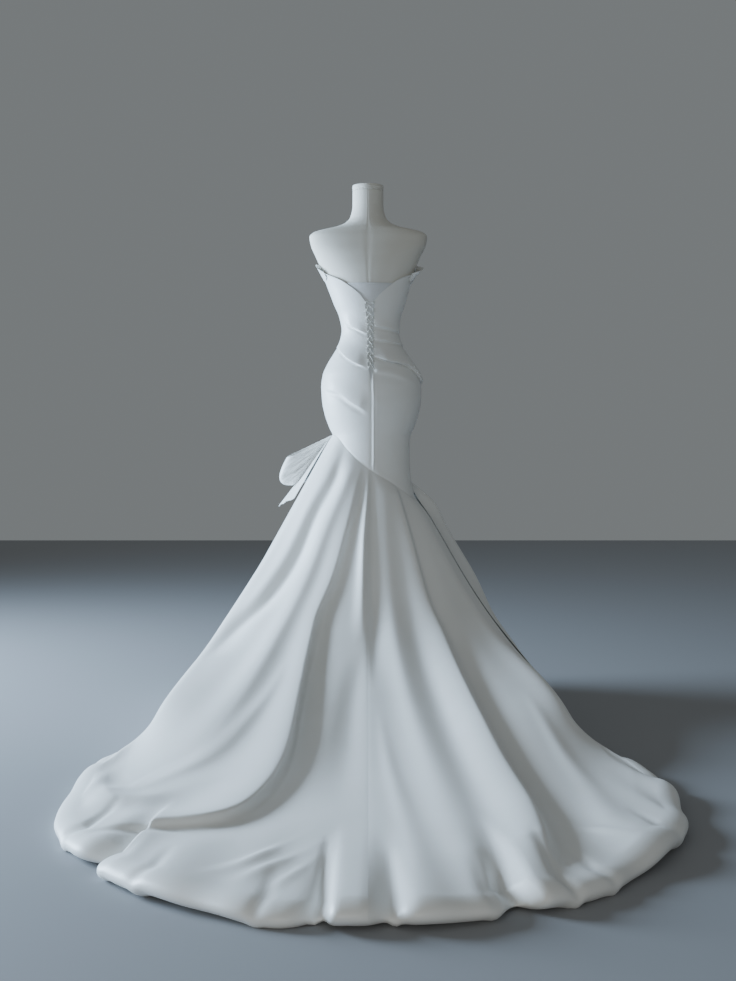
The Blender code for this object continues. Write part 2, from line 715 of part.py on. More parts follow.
def skirt_run(t):
    """Rows evenly down the cloth, with some kept for the rolled hem."""
    roll = ROLL_RUNS / (HANGING_RUNS + ROLL_RUNS)
    hanging = np.clip(t / (1 - roll), 0, 1)
    return HEM_RUN * hanging + (1 - HEM_RUN) * np.clip((t - 1 + roll) / roll, 0, 1)


def make_skirt(satin):
    """The two back panels with the train, and the front panel."""

    def between(start, end):
        def domain(u, t):
            run = skirt_run(t)
            edges = []
            for edge, sign in ((start, 1), (end, -1)):
                at = np.full(len(t), float(edge))
                turn = skirt_base(at + 0.5, run) - skirt_base(at - 0.5, run)
                down = skirt_base(at, run + 0.004) - skirt_base(at, run - 0.004)
                down /= np.linalg.norm(down, axis=1)[:, None]
                pace = np.linalg.norm(np.cross(turn, down), axis=1)
                pace = np.maximum(pace, SIDE_PACE * np.linalg.norm(turn, axis=1))
                edges.append(at + sign * SEAM_GAP / 2 / pace)
            return edges[0] + (edges[1] - edges[0]) * u, run

        return domain

    rows = HANGING_RUNS + ROLL_RUNS
    wall("skirt_back_left", BACK_COLUMNS, rows, between(-SKIRT_SIDE, 0), skirt_point, WALL, satin)
    wall("skirt_back_right", BACK_COLUMNS, rows, between(0, SKIRT_SIDE), skirt_point, WALL, satin)
    front = between(SKIRT_SIDE, 360 - SKIRT_SIDE)
    wall("skirt_front", SKIRT_FRONT_COLUMNS, rows, front, skirt_point, WALL, satin)


def make_drape(satin):
    """The loose drape that hangs from the seam over the front panel's right side."""
    rows = np.array(DRAPE_ROWS)

    def domain(u, t):
        run = DRAPE_RUNS[0] + (DRAPE_RUNS[1] - DRAPE_RUNS[0]) * t
        edge = smooth_read(rows[:, 0], rows[:, 1:2], run)[:, 0]
        return edge + (DRAPE_END - edge) * u, run

    def surface(azimuth, run):
        edge, off = smooth_read(rows[:, 0], rows[:, 1:], run).T
        share = np.clip((azimuth - edge) / (DRAPE_END - edge), 0, 1)
        ripple = DRAPE_RIPPLE * np.sin(run * DRAPE_WAVE) * (1 - share) ** 3
        ripple = ripple * np.clip(off / DRAPE_LOOSE, 0, 1)
        clear = DRAPE_SEAM + (DRAPE_CLEAR - DRAPE_SEAM) * np.clip(run / FOLD_BEGIN, 0, 1)
        lift = clear + off * (1 - share) ** DRAPE_CURVE + ripple
        out = facing(skirt_base, azimuth, np.clip(run, FIRST_SLOPE, HEM_RUN - FOLD_PAST))
        return skirt_point(azimuth, run) + out * lift[:, None]

    wall("side_drape", *DRAPE_GRID, domain, surface, WALL, satin)


def make_neckline(satin):
    """The two folded pieces along the front neckline."""
    rows = np.array(PETAL_ROWS)

    def surface(azimuth, share):
        share = np.clip(share, 0, 1)
        turn = np.abs(wrapped(azimuth))
        foot, top, flare = smooth_read(rows[:, 0], rows[:, 1:], turn).T
        flare = np.where(wrapped(azimuth) < 0, flare * PETAL_LEFT, flare)
        height = neck_height(azimuth) + foot + (top - foot) * (1 - share)
        off = BODICE_OUTER + PETAL_CLEAR + flare * (1 - share) ** PETAL_CURVE
        off = off + PETAL_RIPPLE * (1 - share) * np.sin(np.radians(azimuth * PETAL_WAVE))
        return body_point(azimuth, height, off)

    for name, start, end in PETAL_SPANS:

        def domain(u, t, start=start, end=end):
            return start + (end - start) * u, t

        wall(name, *PETAL_GRID, domain, surface, WALL, satin)


def unit(vector):
    return np.array(vector, float) / np.linalg.norm(vector)


def make_bow(satin):
    """The bow on the wearer's left hip: a knot, two loops and two tails."""
    at = np.array([float(KNOT_AZIMUTH)])
    foot = body_point(at, np.array([KNOT_HEIGHT]), BODICE_OUTER)[0]
    out = unit((foot[0], foot[1], 0))
    centre = foot + out * (KNOT_SIZE[0] + KNOT_CLEAR)
    axes = np.array([out * KNOT_SIZE[0], np.cross((0, 0, 1), out) * KNOT_SIZE[1], (0, 0, KNOT_SIZE[2])])
    bm = bmesh.new()
    bmesh.ops.create_icosphere(bm, subdivisions=2, radius=1)
    for vert in bm.verts:
        vert.co = centre + np.array(vert.co) @ axes
    add_object("bow_knot", bm, satin)
    for name, axis, apart, start, length, widest in BOW_LOOPS:
        axis = unit(axis)
        apart = unit(np.array(apart) - axis * np.dot(apart, axis))
        across = np.cross(axis, apart)

        def surface(w, s, axis=axis, apart=apart, across=across, sizes=(start, length, widest)):
            start, length, widest = sizes
            turn = np.radians(LOOP_OPEN + (180 - 2 * LOOP_OPEN) * s)
            bulge = np.sin(turn)
            ends = np.sin(np.radians(LOOP_OPEN))
            grown = np.maximum((bulge - ends) / (1 - ends), 0)
            reach = start + (length - start) * grown * (1 - LOOP_TIP * w * w)
            half = LOOP_NECK + (widest - LOOP_NECK) * bulge**LOOP_SWELL
            pleat = LOOP_PLEAT * np.sin(w * LOOP_WAVE) * bulge * (1 - LOOP_PLAIN * bulge**4)
            layer = np.sign(np.cos(turn)) * np.abs(np.cos(turn)) ** LOOP_FLAT
            off = LOOP_BELLY * np.sin(2 * turn) + LOOP_APART * np.cos(turn) + pleat * layer
            return centre + np.outer(reach, axis) + np.outer(off, apart) + np.outer(half * w, across)

        def domain(u, t):
            return 2 * u - 1, t

        wall(name, *LOOP_GRID, domain, surface, WALL, satin, LOOP_STEPS)
    for name, first, last, end, spread, near, far in BOW_TAILS:

        def domain(u, t, first=first, last=last, end=end, spread=spread):
            half = spread * (TAIL_NECK + (1 - TAIL_NECK) * t)
            azimuth = first + (last - first) * t + (u * 2 - 1) * half
            return azimuth, TAIL_START + (end * (1 - TAIL_SLANT * u) - TAIL_START) * t

        def surface(azimuth, run, near=near, far=far, end=end):
            lift = near + (far - near) * np.clip(run / end, 0, 1) ** TAIL_LIFT
            out = facing(skirt_base, azimuth, np.clip(run, FIRST_SLOPE, TAIL_SLOPE_END))
            return skirt_point(azimuth, run) + out * lift[:, None]

        wall(name, *TAIL_GRID, domain, surface, WALL, satin)


def lace_point(across, height, level):
    """A point over the back, measured from the centre back line."""
    across, height = np.atleast_1d(float(across)), np.atleast_1d(float(height))
    return body_point(back_azimuth(across, height), height, level)[0]


def cord(name, points, finish):
    """A closed tube along points."""
    curve = bpy.data.curves.new(name, "CURVE")
    curve.dimensions = "3D"
    curve.bevel_depth = CORD / 2
    curve.bevel_resolution = 0
    curve.use_fill_caps = True
    curve.materials.append(finish)
    spline = curve.splines.new("POLY")
    spline.points.add(len(points) - 1)
    for spot, point in zip(spline.points, points):
        spot.co = (*point, 1)
    made = bpy.data.objects.new(name, curve)
    bpy.context.collection.objects.link(made)


def make_lacing(satin):
    """The row of loops along each edge of the gap, and the lace that crosses between them."""
    pitch = (LACE_TOP - LACE_FOOT) / LACE_CROSSINGS
    heights = [LACE_TOP - pitch * k for k in range(LACE_CROSSINGS + 1)]
    halves = gap_half_width(np.array(heights))
    for name, sign in (("loops_left", -1), ("loops_right", 1)):
        points = []
        for height, half in zip(heights, halves):
            for beyond, rise, off in LOOP_SHAPE:
                points.append(lace_point(sign * (half + beyond), height + rise, LOOP_LEVEL + off))
        cord(name, points, satin)
    # Each strand goes under a loop's crown, across to the other side, and over the next crown.
    strands = []
    for first in (-1, 1):
        over = lace_point(first * (halves[0] - LACE_CROWN), LACE_TOP + LACE_RISE, OVER_LEVEL)
        sign, points = first, [over]
        for k in range(LACE_CROSSINGS):
            hole, under = halves[k] - LACE_HOLE, halves[k] - LACE_CROWN
            points.append(lace_point(sign * hole, heights[k], LOOP_LEVEL))
            points.append(lace_point(sign * under, heights[k] - pitch * LACE_SLIP, UNDER_LEVEL))
            middle = (UNDER_LEVEL + OVER_LEVEL) / 2 + LACE_PASS * first
            points.append(lace_point(0, heights[k] - pitch / 2, middle))
            sign = -sign
            over = halves[k + 1] - LACE_CROWN
            points.append(lace_point(sign * over, heights[k + 1] + pitch * LACE_SLIP, OVER_LEVEL))
        strands.append(points)
    top = lace_point(0, LACE_TOP + LACE_BEND, OVER_LEVEL)
    ends = [lace_point(s * (halves[-1] - LACE_HOLE), heights[-1], LOOP_LEVEL) for s in (1, -1)]
    if LACE_CROSSINGS % 2 == 0:
        ends.reverse()
    path = [ends[0]] + strands[0][::-1] + [top] + strands[1] + [ends[1]]
    cord("lace", path, satin)


def main():
    for old in list(bpy.data.objects):
        bpy.data.objects.remove(old, do_unlink=True)
    satin = material("satin", (0.86, 0.86, 0.84), 0.38)
    fabric = material("form_fabric", (0.78, 0.76, 0.70), 0.8)
    metal_pole = material("stand_pole", (0.75, 0.75, 0.75), 0.3)
    metal = material("stand_base", (0.75, 0.75, 0.75), 0.35)
    make_form(fabric, metal_pole, metal)
    make_bodice(satin)
    make_skirt(satin)
    make_drape(satin)
    make_neckline(satin)
    make_bow(satin)
    make_lacing(satin)


main()
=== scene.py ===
# %% [markdown]
# # A draped satin wedding dress on its dress form
# The dress is strapless, close to the body down to the knee, and then flares into a train.
# It is made here as a dressmaker would hang it: first the form, then the bodice and the long
# sheath, then the skirt, and last the small things such as the lacing and the bow.
# Azimuth 0 is the centre back, which faces -Y, 90 is +X and 180 is the centre front.

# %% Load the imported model
import math

import bmesh
import bpy
import numpy as np
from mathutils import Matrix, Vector


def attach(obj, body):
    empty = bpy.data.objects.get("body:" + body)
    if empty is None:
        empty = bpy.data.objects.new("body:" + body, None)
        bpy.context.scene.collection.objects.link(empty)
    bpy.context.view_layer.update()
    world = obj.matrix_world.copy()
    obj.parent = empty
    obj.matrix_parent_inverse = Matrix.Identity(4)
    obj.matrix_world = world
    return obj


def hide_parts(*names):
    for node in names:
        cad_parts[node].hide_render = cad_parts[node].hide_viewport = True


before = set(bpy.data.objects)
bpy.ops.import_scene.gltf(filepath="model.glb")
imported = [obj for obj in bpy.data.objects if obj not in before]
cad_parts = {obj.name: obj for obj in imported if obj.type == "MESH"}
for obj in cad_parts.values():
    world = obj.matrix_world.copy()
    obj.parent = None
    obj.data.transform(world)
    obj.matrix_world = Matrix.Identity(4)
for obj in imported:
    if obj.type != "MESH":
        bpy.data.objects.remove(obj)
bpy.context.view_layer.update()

# %% [markdown]
# The camera stands behind the train at 0.80 m, about the height of a seated viewer, and looks
# slightly down. Its focal length gives the same perspective as a normal lens on a full frame.

# %% Camera
CAMERA_PLACE = (0, -4.59, 0.80)
CAMERA_DOWN = math.atan(32.5 / 1400)
camera_data = bpy.data.cameras.new("camera")
camera_data.sensor_width = 36
camera_data.lens = 36 * 1400 / 981
camera = bpy.data.objects.new("camera", camera_data)
bpy.context.collection.objects.link(camera)
camera.location = CAMERA_PLACE
camera.rotation_euler = (math.radians(90) - CAMERA_DOWN, 0, 0)
bpy.context.scene.camera = camera
print("camera lens", round(camera_data.lens, 1), "mm")

# %% [markdown]
# White cloth shows its folds only when the light comes from one side. A big cool window-like
# area light stands at the left, a weak warm one fills from the back, and the world gives the
# rest. The floor is pale and plain, and the world behind is a tone darker, so the white dress
# stands out from it.

# %% Floor and light
WORLD_COLOUR = (0.79, 0.85, 0.87)
WORLD_STRENGTH = 0.23


def stage_plane(name, corners, colour):
    """A plain surface that isn't part of the dress."""
    bm = bmesh.new()
    bm.faces.new([bm.verts.new(c) for c in corners])
    mesh = bpy.data.meshes.new(name)
    bm.to_mesh(mesh)
    bm.free()
    paint = bpy.data.materials.new(name)
    paint.use_nodes = True
    paint.node_tree.nodes["Principled BSDF"].inputs["Base Color"].default_value = (*colour, 1)
    paint.node_tree.nodes["Principled BSDF"].inputs["Roughness"].default_value = 0.7
    mesh.materials.append(paint)
    plane = bpy.data.objects.new(name, mesh)
    bpy.context.collection.objects.link(plane)


def area_light(name, place, aim, size, watts, colour):
    """A soft rectangular light."""
    data = bpy.data.lights.new(name, "AREA")
    data.shape = "RECTANGLE"
    data.size, data.size_y = size
    data.energy = watts
    data.color = colour
    lamp = bpy.data.objects.new(name, data)
    bpy.context.collection.objects.link(lamp)
    lamp.location = place
    lamp.rotation_euler = (Vector(aim) - Vector(place)).to_track_quat("-Z", "Y").to_euler()


stage_plane("floor", [(-9, -9, 0), (9, -9, 0), (9, 9, 0), (-9, 9, 0)], (0.30, 0.305, 0.32))
area_light("window", (-4.2, 0.2, 1.3), (0, -0.6, 0.6), (2.4, 2.4), 760, (0.60, 0.79, 1.0))
area_light("fill", (-1.0, -6.2, 1.0), (0, 0, 0.9), (2.4, 1.6), 46, (0.98, 0.97, 0.90))
world = bpy.data.worlds.new("studio")
world.use_nodes = True
world.node_tree.nodes["Background"].inputs[0].default_value = (*WORLD_COLOUR, 1)
world.node_tree.nodes["Background"].inputs[1].default_value = WORLD_STRENGTH
bpy.context.scene.world = world
print("lights", len(bpy.data.lights))

# %% [markdown]
# The finishes share three effects, each made once as a node group: the weave of a cloth, a soft
# uneven shade, and a row of stitches. Heavy bridal satin has a fine close weave with a few
# thicker threads, so its gloss is broad and calm.

# %% Node helpers
CLOTH_MAP = "cloth"


def add_node(tree, kind, **settings):
    """A shader node with its settings."""
    made = tree.nodes.new("ShaderNode" + kind)
    for key, value in settings.items():
        setattr(made, key, value)
    return made


def feed(tree, socket, source):
    """Give a socket a value, or link it to another socket."""
    if isinstance(source, bpy.types.NodeSocket):
        tree.links.new(source, socket)
    else:
        socket.default_value = source


def calc(tree, operation, *terms):
    """One Math node on numbers or sockets."""
    made = add_node(tree, "Math", operation=operation)
    for socket, term in zip(made.inputs, terms):
        feed(tree, socket, term)
    return made.outputs[0]


def ranged(tree, value, low, high, to_low, to_high):
    """One Map Range node."""
    made = add_node(tree, "MapRange")
    for socket, term in zip(made.inputs, (value, low, high, to_low, to_high)):
        feed(tree, socket, term)
    return made.outputs[0]


def new_group(name, inputs, outputs):
    """An empty node group with named sockets."""
    group = bpy.data.node_groups.new(name, "ShaderNodeTree")
    for label, kind, value in inputs:
        socket = group.interface.new_socket(label, in_out="INPUT", socket_type="NodeSocket" + kind)
        if value is not None:
            socket.default_value = value
    for label, kind in outputs:
        group.interface.new_socket(label, in_out="OUTPUT", socket_type="NodeSocket" + kind)
    return group, group.nodes.new("NodeGroupInput"), group.nodes.new("NodeGroupOutput")


def use_group(tree, group, **values):
    """Place a group in a material, with its own values."""
    made = add_node(tree, "Group", node_tree=group)
    for label, value in values.items():
        feed(tree, made.inputs[label.replace("_", " ")], value)
    return made


# %% Effects shared by the finishes
weave, enter, leave = new_group(
    "woven cloth",
    [("Place", "Vector", None), ("Threads", "Float", 1400.0), ("Slub", "Float", 0.5)],
    [("Height", "Float"), ("Thread", "Float")],
)
parts = add_node(weave, "SeparateXYZ")
feed(weave, parts.inputs[0], enter.outputs["Place"])
turns = calc(weave, "MULTIPLY", enter.outputs["Threads"], math.tau / 2)
warp = calc(weave, "SINE", calc(weave, "MULTIPLY", parts.outputs[0], turns))
weft = calc(weave, "SINE", calc(weave, "MULTIPLY", parts.outputs[1], turns))
long_way = add_node(weave, "Mapping")
feed(weave, long_way.inputs["Vector"], enter.outputs["Place"])
long_way.inputs["Scale"].default_value = (60, 900, 60)
threads = add_node(weave, "TexNoise")
feed(weave, threads.inputs["Vector"], long_way.outputs[0])
threads.inputs["Scale"].default_value = 1.0
threads.inputs["Detail"].default_value = 2.0
crossing = calc(weave, "MULTIPLY_ADD", calc(weave, "MULTIPLY", warp, weft), 0.25, 0.5)
slubbed = calc(weave, "MULTIPLY", threads.outputs[0], enter.outputs["Slub"])
feed(weave, leave.inputs["Height"], calc(weave, "ADD", crossing, slubbed))
feed(weave, leave.inputs["Thread"], threads.outputs[0])

shade, enter, leave = new_group(
    "uneven shade",
    [
        ("Place", "Vector", None),
        ("Size", "Float", 3.0),
        ("Light", "Color", (0.8, 0.8, 0.8, 1)),
        ("Dark", "Color", (0.7, 0.7, 0.7, 1)),
    ],
    [("Colour", "Color"), ("Value", "Float")],
)
patches = add_node(shade, "TexNoise")
feed(shade, patches.inputs["Vector"], enter.outputs["Place"])
feed(shade, patches.inputs["Scale"], enter.outputs["Size"])
patches.inputs["Detail"].default_value = 3.0
spread = ranged(shade, patches.outputs[0], 0.3, 0.7, 0.0, 1.0)
tint = add_node(shade, "Mix", data_type="RGBA")
feed(shade, tint.inputs["Factor"], spread)
feed(shade, tint.inputs["A"], enter.outputs["Light"])
feed(shade, tint.inputs["B"], enter.outputs["Dark"])
feed(shade, leave.inputs["Colour"], tint.outputs["Result"])
feed(shade, leave.inputs["Value"], spread)

stitches, enter, leave = new_group(
    "row of stitches",
    [("Along", "Float", None), ("Across", "Float", None), ("Pitch", "Float", 0.003)],
    [("Groove", "Float"), ("Thread", "Float")],
)
off = calc(stitches, "DIVIDE", enter.outputs["Across"], 0.0012)
groove = calc(stitches, "EXPONENT", calc(stitches, "MULTIPLY", calc(stitches, "POWER", off, 2.0), -1.0))
beat = calc(stitches, "FRACT", calc(stitches, "DIVIDE", enter.outputs["Along"], enter.outputs["Pitch"]))
dash = calc(stitches, "LESS_THAN", calc(stitches, "ABSOLUTE", calc(stitches, "SUBTRACT", beat, 0.5)), 0.36)
near = calc(stitches, "LESS_THAN", calc(stitches, "ABSOLUTE", enter.outputs["Across"]), 0.0005)
feed(stitches, leave.inputs["Groove"], groove)
feed(stitches, leave.inputs["Thread"], calc(stitches, "MULTIPLY", dash, near))
print("node groups", [g.name for g in (weave, shade, stitches)])

# %% [markdown]
# The satin is ivory. Its threads lie along the piece's own UV map, which is measured in metres
# of cloth, so the weave follows every panel and keeps its size. The linen of the form is
# coarser and duller. The pole and the base are metal, and the skirt hides them.

# %% Finishes


def woven_finish(name, light, dark, threads_per_metre, slub, bump, rough, sheen):
    """A cloth finish: weave, uneven shade and a soft gloss."""
    made = bpy.data.materials.new(name)
    made.use_nodes = True
    tree = made.node_tree
    shader = tree.nodes["Principled BSDF"]
    flat = add_node(tree, "UVMap", uv_map=CLOTH_MAP).outputs[0]
    cloth = use_group(tree, weave, Place=flat, Threads=threads_per_metre, Slub=slub)
    tone = use_group(tree, shade, Place=flat, Size=4.0, Light=(*light, 1), Dark=(*dark, 1))
    feed(tree, shader.inputs["Base Color"], tone.outputs["Colour"])
    gloss = calc(tree, "MULTIPLY_ADD", cloth.outputs["Thread"], 0.5, calc(tree, "MULTIPLY", tone.outputs["Value"], 0.5))
    feed(tree, shader.inputs["Roughness"], ranged(tree, gloss, 0.0, 1.0, *rough))
    raised = add_node(tree, "Bump")
    raised.inputs["Strength"].default_value = bump
    raised.inputs["Distance"].default_value = 0.0003
    feed(tree, raised.inputs["Height"], cloth.outputs["Height"])
    feed(tree, shader.inputs["Normal"], raised.outputs[0])
    shader.inputs["Sheen Weight"].default_value = sheen
    shader.inputs["Sheen Roughness"].default_value = 0.45
    shader.inputs["Specular IOR Level"].default_value = 0.5
    return made


def sew_row(finish, along, across, pitch):
    """Add a row of stitches to a finish. along and across choose sockets of its UV map."""
    tree = finish.node_tree
    shader = tree.nodes["Principled BSDF"]
    flat = add_node(tree, "UVMap", uv_map=CLOTH_MAP).outputs[0]
    split = add_node(tree, "SeparateXYZ")
    feed(tree, split.inputs[0], flat)
    place = calc(tree, "SUBTRACT", split.outputs[1 - along], across)
    row = use_group(tree, stitches, Along=split.outputs[along], Across=place, Pitch=pitch)
    level = calc(tree, "SUBTRACT", row.outputs["Thread"], calc(tree, "MULTIPLY", row.outputs["Groove"], 2.0))
    sunk = add_node(tree, "Bump")
    sunk.inputs["Strength"].default_value = 0.6
    sunk.inputs["Distance"].default_value = 0.0006
    feed(tree, sunk.inputs["Height"], level)
    feed(tree, sunk.inputs["Normal"], shader.inputs["Normal"].links[0].from_socket)
    feed(tree, shader.inputs["Normal"], sunk.outputs[0])


satin = woven_finish("satin_ivory", (0.86, 0.865, 0.85), (0.81, 0.815, 0.795), 1500.0, 0.5, 0.16, (0.36, 0.5), 0.2)
# The cord's dark olive tone is painted shade for the deep lacing gap; the uneven shade's noise mixes it into the cream
# cord in patches.
satin_cord_painted_shade = woven_finish("satin_cord_painted_shade", (0.80, 0.785, 0.72), (0.44, 0.43, 0.37), 900.0, 0.3, 0.5, (0.4, 0.55), 0.2)
# The modesty panel is the same satin made about a fifth darker: painted shade for the panel lying behind the bodice and
# in the lacing gap.
satin_panel_painted_shade = woven_finish("satin_panel_painted_shade", (0.70, 0.71, 0.72), (0.64, 0.65, 0.66), 1500.0, 0.4, 0.16, (0.38, 0.52), 0.2)
sew_row(satin_panel_painted_shade, 0, 0.004, 0.003)
linen = woven_finish("form_linen", (0.74, 0.72, 0.665), (0.665, 0.645, 0.585), 620.0, 0.9, 0.6, (0.7, 0.9), 0.1)
print("cloth finishes", [m.name for m in (satin, satin_cord_painted_shade, satin_panel_painted_shade, linen)])

# %% Metal finishes


def metal_finish(name, colour, rough, grain):
    """Brushed or painted metal, with a grain on Object coordinates."""
    made = bpy.data.materials.new(name)
    made.use_nodes = True
    tree = made.node_tree
    shader = tree.nodes["Principled BSDF"]
    place = add_node(tree, "TexCoord").outputs["Object"]
    stretch = add_node(tree, "Mapping")
    feed(tree, stretch.inputs["Vector"], place)
    stretch.inputs["Scale"].default_value = grain
    dark = tuple(c * 0.86 for c in colour)
    tone = use_group(tree, shade, Place=stretch.outputs[0], Size=1.0, Light=(*colour, 1), Dark=(*dark, 1))
    feed(tree, shader.inputs["Base Color"], tone.outputs["Colour"])
    feed(tree, shader.inputs["Roughness"], ranged(tree, tone.outputs["Value"], 0.0, 1.0, *rough))
    shader.inputs["Metallic"].default_value = 1.0
    return made


pole_metal = metal_finish("pole_metal", (0.62, 0.62, 0.61), (0.22, 0.38), (400, 400, 30))
base_metal = metal_finish("base_metal", (0.55, 0.55, 0.54), (0.3, 0.5), (30, 30, 400))
for node, finish in (("form_pole", pole_metal), ("form_base", base_metal)):
    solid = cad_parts[node]
    solid.data.materials.clear()
    solid.data.materials.append(finish)
print("metal finishes", pole_metal.name, base_metal.name)

# %% [markdown]
# All the tables of the dress hold a few rows of real sizes. A smooth curve through them gives
# every size between. Each panel is a flat grid of cloth that a function lays on its place, and
# Solidify gives it the thickness of cloth. The grid's UV map keeps the panel's flat size.

# %% Smooth tables and cloth panels
def smooth_read(keys, values, key):
    """Read a smooth curve through a table's rows, with no overshoot between them."""
    keys = np.asarray(keys, float)
    values = np.asarray(values, float)
    key = np.clip(key, keys[0], keys[-1])
    step = np.diff(keys).reshape([-1] + [1] * (values.ndim - 1))
    rise = np.diff(values, axis=0) / step
    same = rise[:-1] * rise[1:] > 0
    total = np.where(same, rise[:-1] + rise[1:], 1)
    middle = np.where(same, 2 * rise[:-1] * rise[1:] / total, 0)
    slope = np.concatenate([rise[:1], middle, rise[-1:]])
    span = np.clip(np.searchsorted(keys, key, side="right") - 1, 0, len(keys) - 2)
    width = (keys[span + 1] - keys[span])[:, None]
    part = (key - keys[span])[:, None] / width
    at = (span,) if values.ndim == 2 else (span, np.arange(len(key)))
    after = (span + 1,) + at[1:]
    bend = part * part * (3 - 2 * part)
    out = values[at] * (1 - bend) + values[after] * bend
    out += slope[at] * width * part * (1 - part) ** 2
    return out - slope[after] * width * part * part * (1 - part)


def spline_read(keys, values, key):
    """Read a curve through a table's rows whose bend has no steps, so light shows no ring."""
    keys, values = np.asarray(keys, float), np.asarray(values, float)
    width = np.diff(keys)
    solve, bends = np.eye(len(keys)), np.zeros((len(keys), len(keys)))
    for k in range(1, len(keys) - 1):
        before, after = width[k - 1], width[k]
        solve[k, k - 1 : k + 2] = before, 2 * (before + after), after
        bends[k, k - 1 : k + 2] = 6 / before, -6 / before - 6 / after, 6 / after
    bend = np.tensordot(np.linalg.solve(solve, bends), values, 1)
    key = np.clip(key, keys[0], keys[-1])
    span = np.clip(np.searchsorted(keys, key, side="right") - 1, 0, len(keys) - 2)
    each = np.arange(len(key))
    wide = width[span][:, None]
    past, left = (key - keys[span])[:, None], (keys[span + 1] - key)[:, None]
    begun = bend[span, each] * (left**3 / wide - left * wide) / 6 + values[span, each] * left / wide
    ended = bend[span + 1, each] * (past**3 / wide - past * wide) / 6
    return begun + ended + values[span + 1, each] * past / wide


def wrapped(azimuth):
    """Bring azimuths to -180 to 180 degrees."""
    return (np.asarray(azimuth, float) + 180) % 360 - 180


def facing(surface, first, second, steps=(0.25, 0.004)):
    """Unit normals of a surface of two coordinates, the second of which runs down."""
    step_a, step_b = steps
    along = surface(first + step_a, second) - surface(first - step_a, second)
    down = surface(first, second + step_b) - surface(first, second - step_b)
    normal = np.cross(down, along)
    return normal / np.linalg.norm(normal, axis=1)[:, None]


def measured(grid):
    """A panel's flat width and length, and its own flat coordinates in metres."""
    along = np.linalg.norm(np.diff(grid, axis=1), axis=2)
    down = np.linalg.norm(np.diff(grid, axis=0), axis=2)
    u = np.concatenate([np.zeros((len(grid), 1)), np.cumsum(along, axis=1)], axis=1)
    middle = grid.shape[1] // 2
    u -= u[:, middle : middle + 1]
    v = np.concatenate([[0], np.cumsum(down[:, middle])])[:, None] + np.zeros_like(u)
    width, length = along.sum(axis=1).max(), down.sum(axis=0).max()
    # A flared panel is cut as part of a ring: its width is the ring's, straight across.
    half = len(down) // 2
    fan = (along[half].sum() - along[0].sum()) / down[:half].sum(axis=0).mean()
    if fan > 0.25 and along[-1].sum() > along[half].sum():
        hole = along[0].sum() / fan
        angle = np.linspace(-fan / 2, fan / 2, grid.shape[1])
        reach = hole + down.sum(axis=0)
        width = np.ptp(reach * np.sin(angle))
        length = (reach * np.cos(angle)).max() - hole * np.cos(fan / 2)
    return width, length, u, v


def finish_piece(name, bm, finish, nodes):
    """Turn a bmesh into a piece that rides on the body and stands for its CAD nodes."""
    mesh = bpy.data.meshes.new(name)
    bm.to_mesh(mesh)
    bm.free()
    mesh.shade_smooth()
    mesh.materials.append(finish)
    piece = bpy.data.objects.new(name, mesh)
    bpy.context.collection.objects.link(piece)
    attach(piece, "root")
    if nodes:
        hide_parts(*nodes)
    return piece


def cloth_grid(columns, rows, domain, surface):
    """A grid laid on a surface, with a UV map in metres of cloth."""
    bm = bmesh.new()
    bmesh.ops.create_grid(bm, x_segments=columns, y_segments=rows, size=0.5)
    flat = np.array([v.co[:2] for v in bm.verts]) + 0.5
    points = surface(*domain(flat[:, 0], 1 - flat[:, 1]))
    for vert, point in zip(bm.verts, points):
        vert.co = point
    order = np.round((1 - flat[:, 1]) * rows) * (columns + 1) + np.round(flat[:, 0] * columns)
    order = order.astype(int)
    grid = np.empty(points.shape)
    grid[order] = points
    width, length, u, v = measured(grid.reshape(rows + 1, columns + 1, 3))
    layer = bm.loops.layers.uv.new(CLOTH_MAP)
    u, v = u.ravel()[order], v.ravel()[order]
    for face in bm.faces:
        for loop in face.loops:
            loop[layer].uv = (u[loop.vert.index], v[loop.vert.index])
    return bm, width, length


def lay_cloth(name, size, domain, surface, nodes, thick=0.0012, finish=None):
    """A panel of satin, laid on its place, with Solidify for its thickness."""
    bm, width, length = cloth_grid(*size, domain, surface)
    area = sum(face.calc_area() for face in bm.faces)
    for edge in bm.edges:
        edge.smooth = not edge.is_boundary
    piece = finish_piece(name, bm, finish or satin, nodes)
    shell = piece.modifiers.new("cloth thickness", "SOLIDIFY")
    shell.thickness = thick
    shell.offset = -1
    print(f"{name}: cut {width:.2f} x {length:.2f} m, {area:.2f} m2")
    return piece
